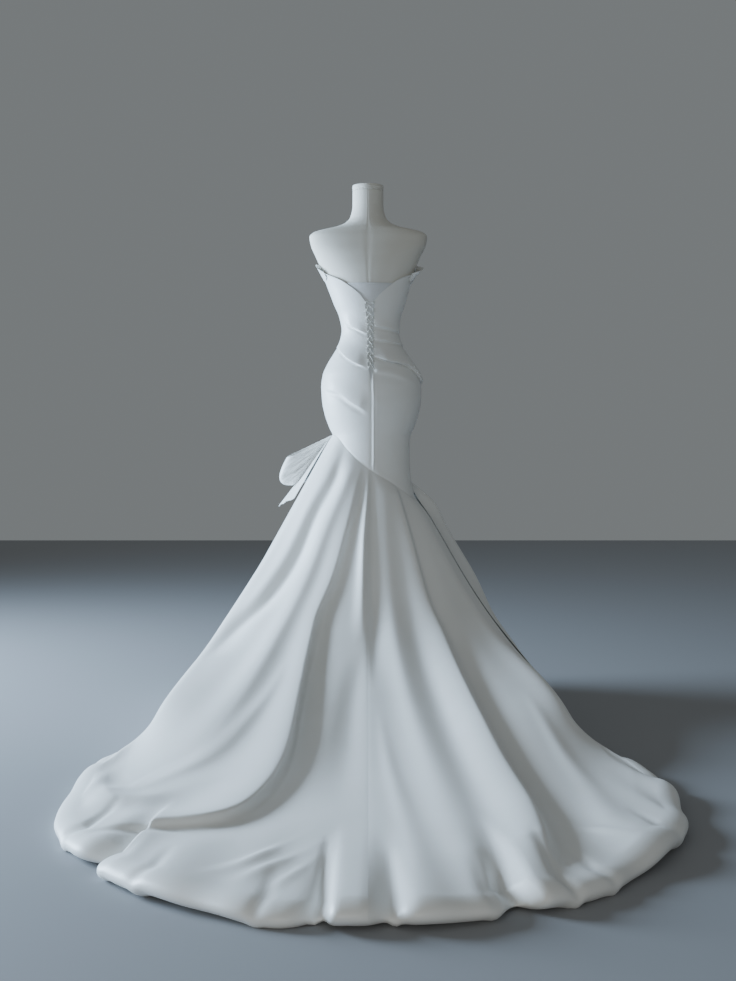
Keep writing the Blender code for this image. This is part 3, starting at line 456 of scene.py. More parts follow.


# %% [markdown]
# The dress form is a padded body covered with linen, limbless, with flat plates where the arms
# would be and a flat cap on its neck. Its rows give half width and depth at each height. The
# cover has a seam down the centre back and one round the neck, so the grid gets more columns
# at the centre back and the surface sinks a little along both seams.

# %% The form's sizes
# The form: height, half width, depth to the back, depth to the front, shift to +X, squareness
FORM_ROWS = (
    (0.640, 0.1440, 0.124, 0.116, 0.010, 2.0),
    (0.700, 0.1310, 0.110, 0.102, 0.010, 2.0),
    (0.760, 0.1220, 0.101, 0.094, 0.011, 2.0),
    (0.795, 0.1190, 0.099, 0.091, 0.012, 2.0),
    (0.830, 0.1185, 0.099, 0.090, 0.012, 2.0),
    (0.870, 0.1210, 0.103, 0.092, 0.012, 2.0),
    (0.905, 0.1350, 0.110, 0.095, 0.012, 2.0),
    (0.944, 0.1480, 0.120, 0.097, 0.012, 2.0),
    (0.990, 0.1565, 0.128, 0.098, 0.012, 2.0),
    (1.030, 0.1580, 0.130, 0.097, 0.011, 2.0),
    (1.069, 0.1525, 0.124, 0.094, 0.010, 2.0),
    (1.111, 0.1335, 0.108, 0.089, 0.009, 2.0),
    (1.138, 0.1160, 0.095, 0.084, 0.008, 2.0),
    (1.180, 0.0935, 0.079, 0.078, 0.008, 2.0),
    (1.216, 0.0880, 0.073, 0.078, 0.008, 2.0),
    (1.259, 0.0945, 0.076, 0.087, 0.007, 2.0),
    (1.302, 0.1105, 0.084, 0.104, 0.005, 2.0),
    (1.341, 0.1235, 0.090, 0.124, 0.003, 2.0),
    (1.384, 0.1385, 0.096, 0.134, 0.001, 2.1),
    (1.416, 0.1530, 0.098, 0.129, 0.000, 2.2),
    (1.455, 0.1700, 0.094, 0.108, 0.000, 2.4),
    (1.495, 0.1880, 0.082, 0.082, 0.001, 2.6),
    (1.521, 0.1920, 0.074, 0.066, 0.001, 2.6),
    (1.535, 0.1780, 0.068, 0.060, 0.001, 2.5),
    (1.543, 0.1500, 0.065, 0.057, 0.001, 2.4),
    (1.553, 0.1050, 0.061, 0.054, 0.000, 2.2),
    (1.566, 0.0750, 0.057, 0.052, 0.000, 2.1),
    (1.584, 0.0585, 0.053, 0.051, 0.000, 2.0),
    (1.620, 0.0505, 0.049, 0.049, 0.000, 2.0),
    (1.670, 0.0500, 0.048, 0.048, 0.000, 2.0),
)
FORM_FOOT = 0.795
FORM_TOP = 1.670
FORM_COLUMNS = 32
RING_STEP = 0.032
CAP_RADIUS = 0.0505
CAP_HEIGHT = 0.018
POLE_RADIUS = 0.0125
BASE_RADIUS = 0.18
BASE_HEIGHT = 0.012
TOUCH = 0.0003


def body_point(azimuth, height, outward=0.0):
    """A point on the form's surface, moved outward."""
    rows = np.array(FORM_ROWS)
    half, back, front, shift, square = smooth_read(rows[:, 0], rows[:, 1:], height).T
    angle = np.radians(azimuth)
    across, along = np.sin(angle), np.cos(angle)
    depth = np.where(along > 0, back, front)
    x = np.sign(across) * np.abs(across) ** (2 / square) * (half + outward) + shift
    y = -np.sign(along) * np.abs(along) ** (2 / square) * (depth + outward)
    return np.stack([x, y, height], axis=1)



# %% The form's cover
NECK_SEAM = 1.622
SEAM_SINK = 0.0004
SEAM_REACH = 0.0022


def cover_domain(u, t):
    azimuth = 360 * (u - 0.86 * np.sin(math.tau * u) / math.tau)
    step = np.clip((t - 0.5) / 0.5, 0, 1)
    steady = FORM_FOOT + (FORM_TOP - FORM_FOOT) * (1 - t)
    return azimuth, steady + 0 * step


def cover_surface(azimuth, height):
    across = np.radians(wrapped(azimuth)) * 0.11
    sink = SEAM_SINK * np.exp(-((across / SEAM_REACH) ** 2))
    sink += SEAM_SINK * np.exp(-(((height - NECK_SEAM) / SEAM_REACH) ** 2))
    puff = 0.5 * SEAM_SINK * np.exp(-(((np.abs(across) - 0.006) / 0.004) ** 2))
    return body_point(azimuth, height, puff - sink)


bm, width, length = cloth_grid(150, 240, cover_domain, cover_surface)
bmesh.ops.remove_doubles(bm, verts=bm.verts, dist=0.00001)
bmesh.ops.holes_fill(bm, edges=bm.edges, sides=0)
bmesh.ops.recalc_face_normals(bm, faces=bm.faces)
cover = finish_piece("form_cover", bm, linen, ["form_torso"])
print("form cover", round(width, 2), "m round")

# %% The cap on the neck
CAP_PROFILE = (
    (0.0, 0.0),
    (0.0490, 0.0),
    (0.0502, 0.0012),
    (0.0505, 0.0040),
    (0.0496, 0.0052),
    (0.0496, 0.0060),
    (0.0505, 0.0072),
    (0.0505, 0.0150),
    (0.0496, 0.0171),
    (0.0470, 0.0178),
    (0.0, 0.0180),
)
bm = bmesh.new()
verts = [bm.verts.new((x, 0, FORM_TOP + TOUCH + z)) for x, z in CAP_PROFILE]
edges = [bm.edges.new(pair) for pair in zip(verts, verts[1:])]
bmesh.ops.spin(
    bm, geom=verts + edges, cent=(0, 0, 0), axis=(0, 0, 1), angle=math.tau, steps=72, use_merge=True
)
bmesh.ops.remove_doubles(bm, verts=bm.verts, dist=0.00001)
bmesh.ops.recalc_face_normals(bm, faces=bm.faces)
layer = bm.loops.layers.uv.new(CLOTH_MAP)
for face in bm.faces:
    for loop in face.loops:
        loop[layer].uv = loop.vert.co[:2]
cap = finish_piece("neck_cap_cover", bm, linen, ["form_neck_cap"])
edge_bevel = cap.modifiers.new("soft edges", "BEVEL")
edge_bevel.width = 0.0006
edge_bevel.segments = 2
edge_bevel.limit_method = "ANGLE"
print("cap faces", len(cap.data.polygons))

# %% [markdown]
# The bodice and the long sheath are one fitted layer in three panels. The folds are not random
# creases: the maker pins tucks that start at the lacing and run round the body, so each one has
# a soft upper side that hangs over a crisp lower edge. They are drawn here as lines over the
# body, in degrees and metres of height, and the cloth is lifted and let down along them.

# %% The bodice's sizes
WALL = 0.002
PANEL_WALL = 0.0012
SEAM_GAP = 0.0006
LAYER_GAP = 0.0016
BODICE_GAP = 0.0013
MODESTY_OUTER = LAYER_GAP + PANEL_WALL
BODICE_OUTER = MODESTY_OUTER + BODICE_GAP + WALL

# The bodice's upper edge: azimuth, height on the left, height on the right
NECK_ROWS = (
    (0, 1.305, 1.303),
    (8, 1.326, 1.322),
    (25, 1.356, 1.352),
    (36, 1.372, 1.370),
    (55, 1.389, 1.388),
    (90, 1.411, 1.402),
    (130, 1.415, 1.415),
    (160, 1.404, 1.404),
    (180, 1.390, 1.390),
)

# The slanting seam where the sheath meets the skirt: azimuth, height
SEAM_ROWS = (
    (-180, 0.840),
    (-140, 0.868),
    (-100, 0.876),
    (-75, 0.875),
    (-60, 0.864),
    (-40, 0.827),
    (-16, 0.783),
    (4, 0.753),
    (25, 0.726),
    (47, 0.696),
    (75, 0.667),
    (92, 0.663),
    (115, 0.715),
    (150, 0.790),
    (180, 0.840),
)

# The lacing gap: height, half width
GAP_ROWS = (
    (0.640, 0.0003),
    (1.036, 0.0003),
    (1.062, 0.0040),
    (1.095, 0.0100),
    (1.180, 0.0100),
    (1.235, 0.0108),
    (1.310, 0.0160),
    (1.450, 0.0160),
)
SIDE_SEAM = 88
SIDE_GAP = 0.15
HEIGHT_STEPS = (0.25, -0.002)
MODESTY_REACH = 43
MODESTY_TOP = 1.362
MODESTY_FOOT = 1.000


def neck_height(azimuth):
    """Height of the bodice's upper edge."""
    rows = np.array(NECK_ROWS)
    azimuth = wrapped(azimuth)
    both = smooth_read(rows[:, 0], rows[:, 1:], np.abs(azimuth))
    right = np.clip(azimuth / 8 + 0.5, 0, 1)
    far = np.clip((180 - np.abs(azimuth)) / 8, 0, 1)
    right = right * far + 0.5 * (1 - far)
    return both[:, 0] * (1 - right) + both[:, 1] * right


def seam_height(azimuth):
    """Height of the seam between the sheath and the skirt."""
    rows = np.array(SEAM_ROWS)
    return smooth_read(rows[:, 0], rows[:, 1:], wrapped(azimuth))[:, 0]


def gap_half_width(height):
    """Half of the lacing gap's width."""
    rows = np.array(GAP_ROWS)
    return smooth_read(rows[:, 0], rows[:, 1:], height)[:, 0]


def back_azimuth(across, height):
    """The azimuth of a point at this distance from the centre back line."""
    rows = np.array(FORM_ROWS)
    half = smooth_read(rows[:, 0], rows[:, 1:2], height)[:, 0]
    return np.degrees(np.arcsin(across / (half + BODICE_OUTER)))



# %% The bodice's folds
# Lift, trough below, soft width above, crisp width below, overhang, then azimuth and height
BODICE_CREASES = (
    (0.0040, 0.0026, 0.020, 0.0035, 0.003, ((-46, 1.231), (-35, 1.2235), (-4, 1.200))),
    (0.0070, 0.0042, 0.028, 0.0034, 0.005, ((-84, 1.170), (-70, 1.163), (-55, 1.151), (-30, 1.120), (-3, 1.087))),
    (0.0048, 0.0028, 0.034, 0.0060, 0.002, ((-56, 1.022), (-39, 1.009), (-25, 0.983), (-3, 0.9465))),
    (0.0040, 0.0026, 0.018, 0.0040, 0.003, ((5, 1.228), (35, 1.222), (64, 1.215), (92, 1.213))),
    (0.0040, 0.0024, 0.020, 0.0042, 0.003, ((5, 1.184), (40, 1.180), (66, 1.174), (96, 1.166))),
    (0.0090, 0.0046, 0.032, 0.0036, 0.007, ((6, 1.127), (33, 1.113), (53, 1.104), (65, 1.088), (79, 1.064), (92, 1.048), (104, 1.040))),
    (0.0032, 0.0006, 0.016, 0.0090, 0.000, ((5, 1.081), (25, 1.070), (48, 1.052))),
    (0.0060, 0.0014, 0.030, 0.0050, 0.003, ((138, 1.266), (180, 1.215), (222, 1.150))),
    (0.0072, 0.0018, 0.034, 0.0050, 0.004, ((132, 1.195), (185, 1.130), (234, 1.062))),
    (0.0070, 0.0016, 0.036, 0.0060, 0.003, ((118, 1.074), (180, 1.015), (238, 0.948))),
)
AROUND = 0.125
LINE_POINTS = 48


def drawn_line(points):
    """A smooth line through points: places, directions and shares along it."""
    points = np.array(points, float)
    begun = np.concatenate([[0], np.cumsum(np.linalg.norm(np.diff(points, axis=0), axis=1))])
    share = np.linspace(0, 1, LINE_POINTS)
    places = smooth_read(begun / begun[-1], points, share)
    ways = np.gradient(places, axis=0)
    return places, ways / np.linalg.norm(ways, axis=1)[:, None], share


def off_line(line, spots):
    """Distance from a line (plus on its left), share along it, way across, distance past it."""
    places, ways, share = line
    gap = spots[:, None, :] - places[None]
    far = (gap**2).sum(axis=2)
    closest = far.min(axis=1)[:, None]
    soft = 0.02 + 0.3 * np.sqrt(closest)
    weight = np.exp(-(far - closest) / soft**2)
    weight /= weight.sum(axis=1)[:, None]
    across = np.stack([-ways[:, 1], ways[:, 0]], axis=1)
    signed = ((gap * across[None]).sum(axis=2) * weight).sum(axis=1)
    past = np.sqrt(np.maximum(closest[:, 0] - signed**2, 0))
    past = np.maximum(past - np.linalg.norm(places[1] - places[0]), 0)
    return signed, (weight * share).sum(axis=1), weight @ across, past


def bodice_folds(azimuth, height):
    """How far the folds lift the bodice's cloth, and how far they let it hang."""
    lift, hang = np.zeros(len(azimuth)), np.zeros(len(azimuth))
    for high, trough, soft, crisp, over, points in BODICE_CREASES:
        turn = wrapped(azimuth) if points[0][0] < 0 else azimuth % 360
        line = drawn_line([(np.radians(a) * AROUND, z) for a, z in points])
        off, share, _, past = off_line(line, np.stack([np.radians(turn) * AROUND, height], axis=1))
        ends = np.clip(share / 0.16, 0, 1) * np.clip((1 - share) / 0.26, 0, 1)
        ends = ends * ends * (3 - 2 * ends) * np.exp(-((past / 0.02) ** 2))
        above = np.exp(-((off / np.where(off > 0, soft, crisp)) ** 2))
        below = np.exp(-(((off + 2.2 * crisp) / (1.4 * crisp)) ** 2))
        lift += ends * (high * above - trough * below)
        hang += ends * over * above
    return lift, hang


print("bodice folds", len(BODICE_CREASES))

# %% [markdown]
# The cloth is turned in along its upper edge, so the edge is a thin round lip. Below the lacing
# the right back panel laps the left one by a few millimetres, and its edge catches the light.
# The slanting seam to the skirt pulls the cloth in a little, as every stitched seam does.

# %% The bodice's surface
EDGE_LIP = 0.0019
LAP_RISE = 0.0024
SEAM_PULL = 0.0009


def bodice_surface(azimuth, height):
    across = (body_point(azimuth, height) - body_point(0 * azimuth, height))[:, 0]
    back = np.cos(np.radians(azimuth)) > 0
    upper = neck_height(azimuth) - height
    lower = height - seam_height(azimuth)
    lift, hang = bodice_folds(azimuth, height)
    calm = np.clip(upper / 0.02, 0, 1) * np.clip(lower / 0.03, 0, 1)
    inner = np.clip((np.abs(across) - 0.006) / np.where(across < 0, 0.030, 0.012), 0, 1)
    calm = calm * np.where(back, inner * inner * (3 - 2 * inner), 1)
    lift, hang = lift * calm, hang * calm
    lift = lift + EDGE_LIP * np.exp(-(((upper - 0.003) / 0.002) ** 2))
    lift -= SEAM_PULL * np.exp(-((lower / 0.006) ** 2))
    closed = np.clip((1.085 - height) / 0.05, 0, 1) * np.clip(lower / 0.02, 0, 1) * back
    lap = np.exp(-(((across - 0.0055) / 0.0035) ** 2)) + 0.4 * np.exp(-(((across - 0.014) / 0.008) ** 2))
    dip = np.exp(-((across / 0.006) ** 2))
    lift += closed * (LAP_RISE * lap * (across > 0) - 0.0010 * dip * (across < 0))
    side = np.abs(np.abs(wrapped(azimuth)) - SIDE_SEAM) * np.radians(1) * AROUND
    lift -= 0.0009 * np.exp(-((side / 0.003) ** 2))
    point = body_point(azimuth, height - hang, BODICE_OUTER + lift)
    return point


# %% Lay the bodice and the modesty panel
def panel_between(start, end, dense):
    def domain(u, t):
        t = t**1.2
        if end == 0:
            u = 1 - (1 - u) ** dense
        if start == 0:
            u = u**dense
        azimuth = start + (end - start) * u
        height = neck_height(azimuth) * (1 - t) + (seam_height(azimuth) + SEAM_GAP / 2) * t
        half = back_azimuth(gap_half_width(height) - 0.0002, height)
        if start == 0:
            azimuth = half + (end - half) * u
        if end == 0:
            azimuth = start + (-half - start) * u
        return azimuth, height

    return domain


BODICE = (
    ("bodice_back_left", (84, 230), -SIDE_SEAM, 0),
    ("bodice_back_right", (84, 230), 0, SIDE_SEAM),
    ("bodice_front", (130, 150), SIDE_SEAM + SIDE_GAP, 360 - SIDE_SEAM - SIDE_GAP),
)
for node, size, start, end in BODICE:
    domain = panel_between(start, end, 1.25)
    lay_cloth(node + "_cloth", size, domain, bodice_surface, [node])


def modesty_domain(u, t):
    return MODESTY_REACH * (2 * u - 1) + 1, MODESTY_TOP * (1 - t) + MODESTY_FOOT * t


def modesty_surface(azimuth, height):
    lip = 0.0007 * np.exp(-(((MODESTY_TOP - height - 0.002) / 0.0015) ** 2))
    return body_point(azimuth, height, MODESTY_OUTER + lip)


lay_cloth(
    "modesty_cloth", (40, 120), modesty_domain, modesty_surface, ["modesty_panel"],
    0.001, satin_panel_painted_shade,
)

# %% [markdown]
# The bodice closes with a lace. A row of small cord loops stands along each edge of the gap,
# and one satin cord crosses between them from the top to the foot. The cord is a curve with a
# round bevel: its points go under a loop, across the gap, and over the next loop.

# %% The lacing's sizes
LACE_TOP = 1.298
LACE_FOOT = 1.088
LACE_CROSSINGS = 9
CORD = 0.0018
# One loop along the gap's edge: distance beyond the edge, height, and lift off the cloth
LOOP_SHAPE = (
    (0.0030, 0.0045, -0.0007),
    (-0.0025, 0.0036, 0),
    (-0.0042, 0, 0),
    (-0.0025, -0.0036, 0),
    (0.0030, -0.0045, -0.0007),
)
LACE_HOLE = 0.0012
LACE_CROWN = 0.0048
LACE_SLIP = 0.12
LACE_PASS = 0.0014
UNDER_LEVEL = MODESTY_OUTER + 0.0018
LOOP_LEVEL = BODICE_OUTER + 0.0025
OVER_LEVEL = LOOP_LEVEL + 0.0034


def lace_point(across, height, level):
    """A point over the back, measured from the centre back line."""
    across, height = np.atleast_1d(float(across)), np.atleast_1d(float(height))
    return body_point(back_azimuth(across, height), height, level)[0]


def rounded(points, steps=5):
    """More points on a smooth curve through the given ones."""
    points = np.array(points)
    keys = np.arange(len(points), dtype=float)
    more = np.linspace(0, keys[-1], (len(points) - 1) * steps + 1)
    before = np.vstack([2 * points[0] - points[1], points, 2 * points[-1] - points[-2]])
    span = np.minimum(more.astype(int), len(points) - 2)
    part = (more - span)[:, None]
    a, b, c, d = (before[span + k] for k in range(4))
    return 0.5 * (
        2 * b + (c - a) * part + (2 * a - 5 * b + 4 * c - d) * part**2
        + (3 * b - a - 3 * c + d) * part**3
    )


def cord_mesh(name, runs, thick, nodes):
    """Round cord along each run of points, as one piece."""
    bm = bmesh.new()
    layer = bm.loops.layers.uv.new(CLOTH_MAP)
    sides = 10
    for run in runs:
        ways = np.gradient(run, axis=0)
        ways /= np.linalg.norm(ways, axis=1)[:, None]
        begun = np.concatenate([[0], np.cumsum(np.linalg.norm(np.diff(run, axis=0), axis=1))])
        side = np.cross(ways, (0.13, 1, 0.21))
        side /= np.linalg.norm(side, axis=1)[:, None]
        up = np.cross(side, ways)
        rings = []
        for k, spot in enumerate(run):
            made = bmesh.ops.create_circle(bm, segments=sides, radius=thick / 2)["verts"]
            for vert in made:
                vert.co = Vector(spot + side[k] * vert.co.x + up[k] * vert.co.y)
            rings.append(made)
        for k, (one, two) in enumerate(zip(rings, rings[1:])):
            edges = [e for ring in (one, two) for v in ring for e in v.link_edges if all(w in ring for w in e.verts)]
            sleeve = bmesh.ops.bridge_loops(bm, edges=list(dict.fromkeys(edges)))["faces"]
            for face in sleeve:
                for loop in face.loops:
                    far = k if loop.vert in one else k + 1
                    turn = (one if loop.vert in one else two).index(loop.vert) / sides
                    loop[layer].uv = (turn * thick * 3.1, begun[far])
        bmesh.ops.contextual_create(bm, geom=rings[0])
        bmesh.ops.contextual_create(bm, geom=rings[-1])
    bmesh.ops.recalc_face_normals(bm, faces=bm.faces)
    return finish_piece(name, bm, satin_cord_painted_shade, nodes)


# %% Loops and lace
pitch = (LACE_TOP - LACE_FOOT) / LACE_CROSSINGS
heights = [LACE_TOP - pitch * k for k in range(LACE_CROSSINGS + 1)]
halves = gap_half_width(np.array(heights))
for node, sign in (("loops_left", -1), ("loops_right", 1)):
    bows = []
    for height, half in zip(heights, halves):
        bow = [
            lace_point(sign * (half + beyond), height + rise, LOOP_LEVEL + off)
            for beyond, rise, off in LOOP_SHAPE
        ]
        bows.append(rounded(bow, 6))
    cord_mesh(node + "_cord", bows, CORD, [node])
strands = []
for first in (-1, 1):
    over = lace_point(first * (halves[0] - LACE_CROWN), LACE_TOP + 0.001, OVER_LEVEL)
    sign, points = first, [over]
    for k in range(LACE_CROSSINGS):
        hole, under = halves[k] - LACE_HOLE, halves[k] - LACE_CROWN
        points.append(lace_point(sign * hole, heights[k], LOOP_LEVEL))
        points.append(lace_point(sign * under, heights[k] - pitch * LACE_SLIP, UNDER_LEVEL))
        middle = (UNDER_LEVEL + OVER_LEVEL) / 2 + LACE_PASS * first
        points.append(lace_point(0, heights[k] - pitch / 2, middle))
        sign = -sign
        over = halves[k + 1] - LACE_CROWN
        points.append(lace_point(sign * over, heights[k + 1] + pitch * LACE_SLIP, OVER_LEVEL))
    strands.append(points)
top = lace_point(0, LACE_TOP + 0.004, OVER_LEVEL)
ends = [lace_point(s * (halves[-1] - LACE_HOLE), heights[-1], LOOP_LEVEL) for s in (1, -1)]
path = [ends[0]] + strands[0][::-1] + [top] + strands[1] + [ends[1]]
lace = cord_mesh("lace_cord", [rounded(path, 5)], CORD, ["lace"])
length = np.linalg.norm(np.diff(rounded(path, 5), axis=0), axis=1).sum()
print("lace", round(length, 2), "m in", LACE_CROSSINGS, "crossings")

# %% [markdown]
# The skirt hangs from the slanting seam, opens below the knee and lies on the floor as a train.
# Its hem is turned under, so it ends in a full soft roll and not in a thin edge. The folds run
# from the seam to the hem along lines seen from above. A fold whose cloth slides over its
# valley, like the deep one at the left, also moves sideways. Cloth simulation would find folds
# of its own, so the folds of this dress are listed one by one.

# %% The skirt's sizes
# The skirt between its seam and its hem: run, half widths to the left and right, middle,
# back and front along Y, and the heights at the side, back and front
SKIRT_ROWS = (
    (0.10, 0.268, 0.204, -0.020, -0.215, 0.175, 0.604, 0.580, 0.600),
    (0.22, 0.368, 0.311, -0.120, -0.345, 0.250, 0.417, 0.405, 0.420),
    (0.36, 0.464, 0.426, -0.350, -0.600, 0.330, 0.248, 0.235, 0.250),
    (0.52, 0.540, 0.508, -0.750, -1.100, 0.405, 0.150, 0.100, 0.110),
)
LYING_RUN = 0.72
LYING_SHARE = 0.55
LYING_HEIGHT = 0.056
LYING_REACH = 0.30
HEM_RUN = 0.90

# The hem on the floor: azimuth, then X and Y on the left and on the right
HEM_ROWS = (
    (0, 0.000, -2.260, 0.000, -2.260),
    (4, -0.062, -2.259, 0.068, -2.259),
    (14, -0.210, -2.225, 0.230, -2.215),
    (28, -0.405, -2.095, 0.445, -2.065),
    (42, -0.565, -1.880, 0.595, -1.850),
    (55, -0.674, -1.600, 0.694, -1.590),
    (66, -0.702, -1.340, 0.718, -1.340),
    (75, -0.690, -1.130, 0.690, -1.150),
    (84, -0.645, -0.960, 0.625, -0.980),
    (93, -0.612, -0.780, 0.590, -0.800),
    (103, -0.590, -0.540, 0.568, -0.560),
    (118, -0.555, -0.200, 0.540, -0.200),
    (133, -0.490, 0.060, 0.480, 0.060),
    (150, -0.350, 0.300, 0.350, 0.300),
    (165, -0.180, 0.420, 0.180, 0.420),
    (175, -0.062, 0.457, 0.062, 0.457),
    (180, 0.000, 0.460, 0.000, 0.460),
)
HEM_PUFF = 0.050
# The roll's width in front and at the back, where the train lies
HEM_ROLL = (0.026, 0.052)
HEM_TURN = 0.03
SKIRT_SIDE = 112
SIDE_PACE = 0.3


def hem_plan(azimuth):
    """The hem's outermost place on the floor."""
    rows = np.array(HEM_ROWS)
    azimuth = wrapped(azimuth)
    both = smooth_read(rows[:, 0], rows[:, 1:], np.abs(azimuth))
    return np.where(azimuth[:, None] < 0, both[:, :2], both[:, 2:])


def hem_inward(azimuth):
    """The level direction from the hem into the skirt."""
    along = hem_plan(azimuth + 1) - hem_plan(azimuth - 1)
    inward = np.stack([-along[:, 1], along[:, 0]], axis=1)
    return inward / np.linalg.norm(inward, axis=1)[:, None]


def skirt_base(azimuth, run):
    """The skirt without its folds, from the seam (run 0) to the turned-under hem (run 1)."""
    azimuth = wrapped(azimuth)
    angle = np.radians(azimuth)
    across, along = np.sin(angle), np.cos(angle)
    seam = body_point(azimuth, seam_height(azimuth) + 0.0002, BODICE_OUTER)
    knots, keys = [seam], [0.0]
    for key, left, right, middle, back, front, side_z, back_z, front_z in SKIRT_ROWS:
        width = np.where(across < 0, left, right)
        end = np.where(along > 0, back, front)
        height = side_z * across**2 + np.where(along > 0, back_z, front_z) * along**2
        x = width * across
        y = middle + (end - middle) * np.abs(along)
        knots.append(np.stack([x, y, height], axis=1))
        keys.append(key)
    hem = hem_plan(azimuth)
    inward = hem_inward(azimuth)
    wide = HEM_ROLL[0] + (HEM_ROLL[1] - HEM_ROLL[0]) * np.clip(along + 0.3, 0, 1)
    top = hem + inward * wide[:, None]
    ring = knots[-1]
    lying = ring[:, :2] * (1 - LYING_SHARE) + top * LYING_SHARE
    near = np.exp(-((np.linalg.norm(top - ring[:, :2], axis=1) / LYING_REACH) ** 2))
    height = LYING_HEIGHT * (1 - near) + (ring[:, 2] + HEM_PUFF) / 2 * near
    knots.append(np.column_stack([lying, height]))
    keys.append(LYING_RUN)
    knots.append(np.column_stack([top, np.full(len(azimuth), HEM_PUFF)]))
    keys.append(HEM_RUN)
    upper = spline_read(keys, knots, run)
    # The last stretch rolls over, down to the floor, and back under.
    roll = np.clip((run - HEM_RUN) / (1 - HEM_RUN), 0, 1)
    turn = np.radians(90 - 180 * np.clip(roll / 0.75, 0, 1))
    inset = wide * (1 - np.cos(turn)) + HEM_TURN * np.clip((roll - 0.75) / 0.25, 0, 1)
    rolled = np.column_stack([hem + inward * inset[:, None], HEM_PUFF / 2 * (1 + np.sin(turn))])
    return np.where((run > HEM_RUN)[:, None], rolled, upper)


